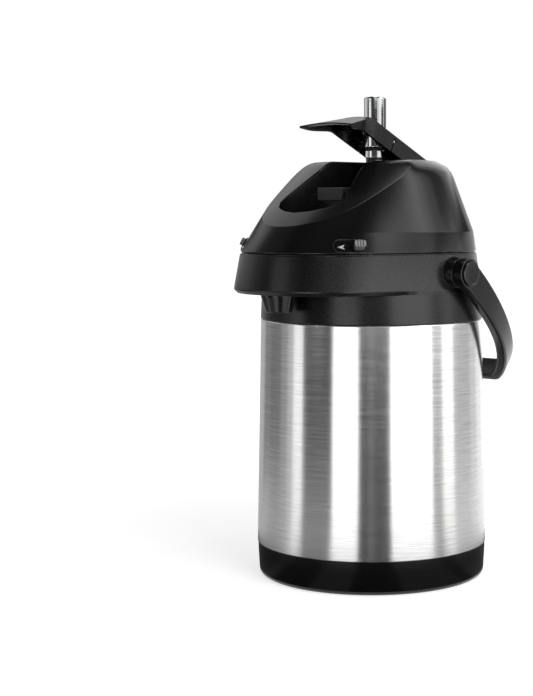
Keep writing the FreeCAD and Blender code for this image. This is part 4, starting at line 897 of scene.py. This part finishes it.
def channel_ring(y):
    """Cross-section of the lever: a crowned top with two side walls, open below."""
    half, top, foot = lever_half(y), lever_top(y), lever_foot(y)
    crown = LEVER_CROWN if y < KNEE_Y else LEVER_CROWN * max(0.0, 1 - (y - KNEE_Y) / CROWN_FADE)
    ceiling = max(top - SKIN, foot + 0.7)
    ring = [Vector((half, y, foot))]
    for step in range(ACROSS + 1):
        x = half * (1 - 2 * step / ACROSS)
        ring.append(Vector((x, y, top + crown * (1 - (x / half) ** 2))))
    ring += [Vector((-half, y, foot)), Vector((-half + SKIN, y, foot))]
    for step in range(ACROSS + 1):
        x = (half - SKIN) * (2 * step / ACROSS - 1)
        ring.append(Vector((x, y, ceiling + crown * (1 - (x / half) ** 2))))
    ring.append(Vector((half - SKIN, y, foot)))
    return [spot * MM for spot in ring]


lever_stations = [TIP_Y, -46.5, -43.0, -39.0, -35.0, -31.0, -28.0, PADDLE_ROOT, -21.0, KNEE_Y, -13.0, -8.0,
                  -2.0, 4.0, 10.0, 18.0, 26.0, 34.0, 40.0, LEVER_HINGE_Y]
lever_rings = [channel_ring(y) for y in lever_stations]
lever = piece_from("pump_lever", [spot for ring in lever_rings for spot in ring],
                   capped_faces(len(lever_rings), len(lever_rings[0])))
slot_end = (LEVER_HINGE_Y + (POST_Y + SLOT_HALF - LEVER_HINGE_Y) * math.cos(LEVER_THROW)
            + LUG_ROUND * math.sin(LEVER_THROW))
slot_plan = soft_corners([
    (-SLOT_HALF, POST_Y - SLOT_HALF, 8.8), (SLOT_HALF, POST_Y - SLOT_HALF, 8.8), (SLOT_HALF, slot_end, 2.0),
    (-SLOT_HALF, slot_end, 2.0)], steps=8)
lever_tools = [prism("post_slot_tool", slot_plan, 290.0, 345.0)]
for side, hand in HANDS:
    slit = as_tool(soft_box("slit_tool", (-2.0, -0.5, -20.0), (2.0, 0.5, 0.0), 0.05))
    lean = Matrix.Translation(Vector((side * 15.0, PIN_Y, PIN_Z)) * MM) @ Matrix.Rotation(-ARM_DIP, 4, "X")
    lever_tools.append(laid(slit, lean))
cut_away(lever, lever_tools)
lever.data.set_sharp_from_angle(angle=math.radians(LEVER_SHARP))
in_black(bevelled(lever, 0.7, 3, LEVER_SHARP), "lever_arm", "lever")
for side, hand in HANDS:
    lug = barrel("lever_lug_" + hand, LUG_ROUND, LUG_LONG, 0.6, turns=64)
    laid(lug, along_x(LUG_NEAR if side > 0 else -LUG_NEAR - LUG_LONG, LEVER_HINGE_Y, LEVER_HINGE_Z))
    in_black(lug, "lever_arm", "lever")
paint(steel_hardware, "lever_hinge_pin")
cross_pin = turned("cross_pin_bar", [
    (0.0, -PIN_HALF, 0.0), (1.6, -PIN_HALF, 0.2), (PIN_RADIUS, -PIN_HALF + 0.5, 0.3),
    (PIN_RADIUS, PIN_HALF - 0.5, 0.3), (1.6, PIN_HALF, 0.2), (0.0, PIN_HALF, 0.0)], turns=40)
laid(cross_pin, along_x(0.0, PIN_Y, PIN_Z))
dress(cross_pin, "lever_arm", steel_hardware, "steel_hardware", "lever_cross_pin")

# Bail handle: two bowed arms with a straight grip between them, moulded as one band in satin black plastic
# with an eye at each end, and swung down behind the pot. A round cap is pressed over each pivot pin.
OUTER_HALF, BAND_THICK, GRIP_REACH, BOW_REACH = 91.5, 8.0, 125.5, 142.0
ARM_WIDTH, EYE_WIDTH, EYE_BLEND, EYE_ROUND = 16.0, 20.4, 75.0, 10.4
BOW_STEPS, BOW_SHARE, GRIP_BEND, BEND_RUN = 29, 0.93, 6.0, 12.0
INNER_EDGE, OUTER_EDGE = 2.0, 2.4
DROOP = Matrix.Translation(Vector((0, 0, PIVOT_Z)) * MM) @ Matrix.Rotation(-math.radians(38.0), 4, "X")


def bail_line():
    """Middle line of the bail in its own plane: a bowed arm, a tight corner, and the straight grip."""
    half = OUTER_HALF - BAND_THICK / 2
    corner = math.asin(GRIP_REACH / BOW_REACH)
    arm = []
    for step in range(BOW_STEPS + 1):
        turn = corner * BOW_SHARE * step / BOW_STEPS
        arm.append((half * math.cos(turn), BOW_REACH * math.sin(turn), 0.0))
    bend = (half * math.cos(corner), GRIP_REACH, GRIP_BEND)
    grip = [bend, (bend[0] - BEND_RUN, GRIP_REACH, 0.0), (0.0, GRIP_REACH, 0.0)]
    right = soft_corners(arm + grip, False, 7)
    return right + [Vector((-spot.x, spot.y)) for spot in reversed(right[:-1])]


def bail_band():
    """The band: a softened rectangle, deeper near the eyes, carried along the middle line."""
    line = bail_line()
    points = []
    half_thick = BAND_THICK / 2
    for number, spot in enumerate(line):
        heading = line[min(number + 1, len(line) - 1)] - line[max(number - 1, 0)]
        outward = Vector((heading.y, -heading.x)).normalized()
        near_eye = max(0.0, 1 - spot.y / EYE_BLEND)
        half_width = (ARM_WIDTH + (EYE_WIDTH - ARM_WIDTH) * near_eye) / 2
        section = soft_corners([(-half_thick, -half_width, INNER_EDGE), (half_thick, -half_width, OUTER_EDGE),
                                (half_thick, half_width, OUTER_EDGE), (-half_thick, half_width, INNER_EDGE)],
                               steps=5)
        for thick, deep in section:
            points.append(Vector((spot.x + outward.x * thick, spot.y + outward.y * thick, deep)) * MM)
    return even_shading(piece_from("bail_handle", points, capped_faces(len(line), len(points) // len(line))))


in_black(laid(bail_band(), DROOP), "handle", "handle_bail")
for side, hand in HANDS:
    eye = turned("bail_eye_" + hand, [
        (PIVOT_BORE, 0.0, 0.2), (EYE_ROUND, 0.0, 1.0), (EYE_ROUND, BAND_THICK, 1.2), (9.0, BAND_THICK, 0.2),
        (8.9, 7.3, 0.2), (PIVOT_BORE, 7.3, 0.2)], turns=80)
    in_black(on_pivot(eye, side, OUTER_HALF - BAND_THICK), "handle", "handle_bail")
    cap = turned("pivot_cap_" + hand, [
        (0.0, 0.0, 0.0), (8.7, 0.0, 0.1), (8.7, 1.1, 0.5), (7.7, 1.8, 0.6), (7.0, 1.5, 0.4), (0.0, 1.8, 0.0)],
        turns=80)
    in_black(on_pivot(cap, side, OUTER_HALF), "handle", "handle_caps")

# Studio: a white sweep to stand on, soft lamps above, behind and to the right, and grey and white screens
# all round the pot that only its shiny surfaces see, each from the end of the one before to its own end.
scene = bpy.context.scene
scene.view_settings.view_transform = "Standard"
WHITE = (1, 1, 1, 1)
SKY_GLOW, FLOOR_HALF = 0.12, 9
sky = bpy.data.worlds.new("white_studio")
scene.world = sky
sky.use_nodes = True


def seen_or_mirrored(tree):
    """One where a camera, a mirror or a clear body looks, and nought for other light."""
    rays = tree.nodes.new("ShaderNodeLightPath")
    total = rays.outputs["Is Camera Ray"]
    for kind in ("Is Glossy Ray", "Is Transmission Ray"):
        both = tree.nodes.new("ShaderNodeMath")
        both.operation = "MAXIMUM"
        tree.links.new(total, both.inputs[0])
        tree.links.new(rays.outputs[kind], both.inputs[1])
        total = both.outputs[0]
    return total


sky_nodes, sky_links = sky.node_tree.nodes, sky.node_tree.links
sky_level = sky_nodes.new("ShaderNodeMapRange")
sky_level.inputs["To Min"].default_value = SKY_GLOW
sky_level.inputs["To Max"].default_value = 1.0
sky_links.new(seen_or_mirrored(sky.node_tree), sky_level.inputs["Value"])
sky_links.new(sky_level.outputs[0], sky_nodes["Background"].inputs["Strength"])
sky_nodes["Background"].inputs["Color"].default_value = WHITE

floor_corners = [(x * FLOOR_HALF, y * FLOOR_HALF, 0) for x, y in ((-1, -1), (1, -1), (1, 1), (-1, 1))]
floor_mesh = bpy.data.meshes.new("studio_floor")
floor_mesh.from_pydata(floor_corners, [], [(0, 1, 2, 3)])
floor = placed("studio_floor", floor_mesh)
floor_finish, floor_shader, add, feed, place = new_finish("white_sweep")
floor_shader.inputs["Base Color"].default_value = (0.5, 0.5, 0.5, 1)
floor_shader.inputs["Roughness"].default_value = 0.9
floor_shader.inputs["Emission Color"].default_value = WHITE
# The floor glows white for the camera and for mirror rays, but near the pot the glow drops to about three
# quarters: a painted darkening round the pot, in the floor and in its reflections, so that the real shadow
# still shows.
from_pot = add("ShaderNodeVectorMath", {0: place}, operation="LENGTH")
glow_dimmed_near_pot = ranged(add, from_pot.outputs["Value"], 0.1, 0.7, 0.74, 1.0, interpolation_type="SMOOTHSTEP")
looked_at = seen_or_mirrored(floor_finish.node_tree)
bright = add("ShaderNodeMath", {0: glow_dimmed_near_pot, 1: looked_at}, operation="MULTIPLY")
feed("Emission Strength", bright.outputs[0])
floor.data.materials.append(floor_finish)

CAMERA_TURN = math.radians(41.75)
SCREEN_STEP = 3


def screen(name, start, end, edges, level):
    """A curved screen between two angles from the camera's side, through two (radius, height) edges."""
    points = []
    steps = max(2, int(abs(end - start) / SCREEN_STEP))
    for step in range(steps + 1):
        angle = CAMERA_TURN + math.radians(start + (end - start) * step / steps)
        for radius, height in edges:
            points.append(Vector((radius * math.sin(angle), -radius * math.cos(angle), height)))
    faces = [(2 * step, 2 * step + 2, 2 * step + 3, 2 * step + 1) for step in range(steps)]
    mesh = bpy.data.meshes.new(name)
    mesh.from_pydata(points, [], faces)
    made = placed(name, mesh)
    cloth = bpy.data.materials.new(name)
    cloth.use_nodes = True
    nodes, links = cloth.node_tree.nodes, cloth.node_tree.links
    nodes.remove(nodes["Principled BSDF"])
    glow = nodes.new("ShaderNodeEmission")
    glow.inputs["Strength"].default_value = level
    links.new(glow.outputs[0], nodes["Material Output"].inputs["Surface"])
    mesh.materials.append(cloth)
    for rays in ("camera", "diffuse", "shadow", "transmission"):
        setattr(made, "visible_" + rays, False)


WALL_SCREENS = ((-134, 0.45, 0.45), (-118, 0.22, 0.5), (-98, 0.16, 0.46), (-88, 0.3, 0.5),
                (-80, 0.55, 0.58), (-68, 1.2, 1.0), (-36.5, 0.04, 0.42), (-12, 1.9, 1.2), (-3, 0.08, 0.1),
                (2.5, 0.15, 0.16), (17.5, 0.08, 0.1), (58.5, 2.2, 1.0), (70.5, 0.45, 0.45), (85, 1.4, 1.0),
                (112, 0.5, 0.76), (126, 0.68, 0.84), (140, 0.95, 0.95), (180, 1.1, 1.0))
COLLAR_SCREENS = ((-98, 0.5), (-82, 0.25), (-68, 0.03), (-58, 0.2), (-46, 1.1), (-37, 0.2), (-16, 0.02),
                  (-6, 1.1), (18, 1.8), (92, 3.0), (110, 1.4), (180, 0.7))
BAND_SCREENS = ((-115, 0.4), (-98, 0.03), (-70, 0.8), (-16, 0.01), (-6, 0.5), (30, 1.6), (56, 1.1),
                (63, 1.8), (95, 3.6), (108, 1.6), (128, 0.6), (180, 1.4))
KNOB_SCREENS = ((-140, 0.1), (-96, 0.6), (-82, 0.3), (-66, 0.06), (-46, 1.0), (-36, 0.3), (22, 0.04),
                (38, 0.6), (67, 0.9), (90, 0.05), (108, 0.4), (140, 0.04), (180, 0.6))
SKY_SCREENS = ((-120, 0.65), (-85, 0.12), (30, 0.01), (40, 0.03), (48, 0.15), (54, 0.9), (61, 2.2),
               (69, 2.8), (78, 1.8), (91, 0.9), (118, 0.2), (140, 0.8), (180, 1.3))
FOOT_NARROWING, FOOT_SHADE = 0.94, 0.12
WALL_AWAY, WALL_TOP, NEAR_FLOOR = 0.5, 0.25, 0.002
SHADE_OUT, SHADE_IN = 0.17, 0.0832
wall_foot, shade_out = (WALL_AWAY, NEAR_FLOOR), (SHADE_OUT, NEAR_FLOOR)
start = foot_start = -180
for number, (end, level, foot_level) in enumerate(WALL_SCREENS):
    foot_end = end if end == 180 else end * FOOT_NARROWING
    screen("wall_screen_" + str(number), start, end, ((WALL_AWAY, WALL_TOP), wall_foot), level)
    screen("foot_screen_" + str(number), foot_start, foot_end, (wall_foot, shade_out), foot_level)
    screen("shade_screen_" + str(number), foot_start, foot_end, (shade_out, (SHADE_IN, NEAR_FLOOR)),
           foot_level * FOOT_SHADE)
    start, foot_start = end, foot_end
TIERS = (("collar", COLLAR_SCREENS, WALL_AWAY, 0.315, WALL_TOP),
         ("band", BAND_SCREENS, WALL_AWAY, 0.44, 0.315),
         ("knob", KNOB_SCREENS, 0.49, 0.385, 0.3), ("sky", SKY_SCREENS, 0.6, 1.1, 0.43))
for tier, rows, away, top, low in TIERS:
    start = -180
    for number, (end, level) in enumerate(rows):
        screen(tier + "_screen_" + str(number), start, end, ((away, top), (away, low)), level)
        start = end
screen("ceiling_screen", -180, 180, ((0.001, 1.1), (0.6, 1.1)), 0.05)
screen("crown_screen", -180, 180, ((0.001, 1.08), (0.16, 1.08)), 4.0)


def soft_lamp(name, place, aim, width, height, watts):
    """A rectangular soft lamp aimed at a point."""
    lamp = bpy.data.lights.new(name, "AREA")
    lamp.shape = "RECTANGLE"
    lamp.size = width
    lamp.size_y = height
    lamp.energy = watts
    stand = bpy.data.objects.new(name, lamp)
    stand.location = place
    stand.rotation_euler = (Vector(aim) - Vector(place)).to_track_quat("-Z", "Y").to_euler()
    stand.visible_glossy = False
    scene.collection.objects.link(stand)


soft_lamp("top_lamp", place=(0.1, 0.2, 1.6), aim=(0, 0, 0.2), width=1.2, height=1.2, watts=3)
soft_lamp("back_lamp", place=(-1.0, 0.9, 0.8), aim=(0, 0, 0.2), width=0.8, height=1.2, watts=3)
soft_lamp("right_lamp", place=(0.75, -0.25, 0.6), aim=(0, 0, 0.26), width=0.5, height=0.7, watts=7)

# Camera: stands a little over a metre away, to the right of the spout and level with the head.
# It is tilted slightly down, and its frame is shifted so that the pot stands right of the middle.
LENS_PIXELS, FRAME_SIDE, SENSOR = 1552.2, 696.0, 36.0
ASIDE, ABOVE = 105.0, 84.0
CAMERA_AWAY, CAMERA_UP, CAMERA_TILT = 1.1292, 0.263, 1.98
camera_data = bpy.data.cameras.new("photo_camera")
camera_data.sensor_width = SENSOR
camera_data.lens = SENSOR * LENS_PIXELS / FRAME_SIDE
camera_data.shift_x = -ASIDE / FRAME_SIDE
camera_data.shift_y = -ABOVE / FRAME_SIDE
camera = bpy.data.objects.new("photo_camera", camera_data)
camera.location = (CAMERA_AWAY * math.sin(CAMERA_TURN), -CAMERA_AWAY * math.cos(CAMERA_TURN), CAMERA_UP)
camera.rotation_euler = (math.radians(90 - CAMERA_TILT), 0, CAMERA_TURN)
scene.collection.objects.link(camera)
scene.camera = camera
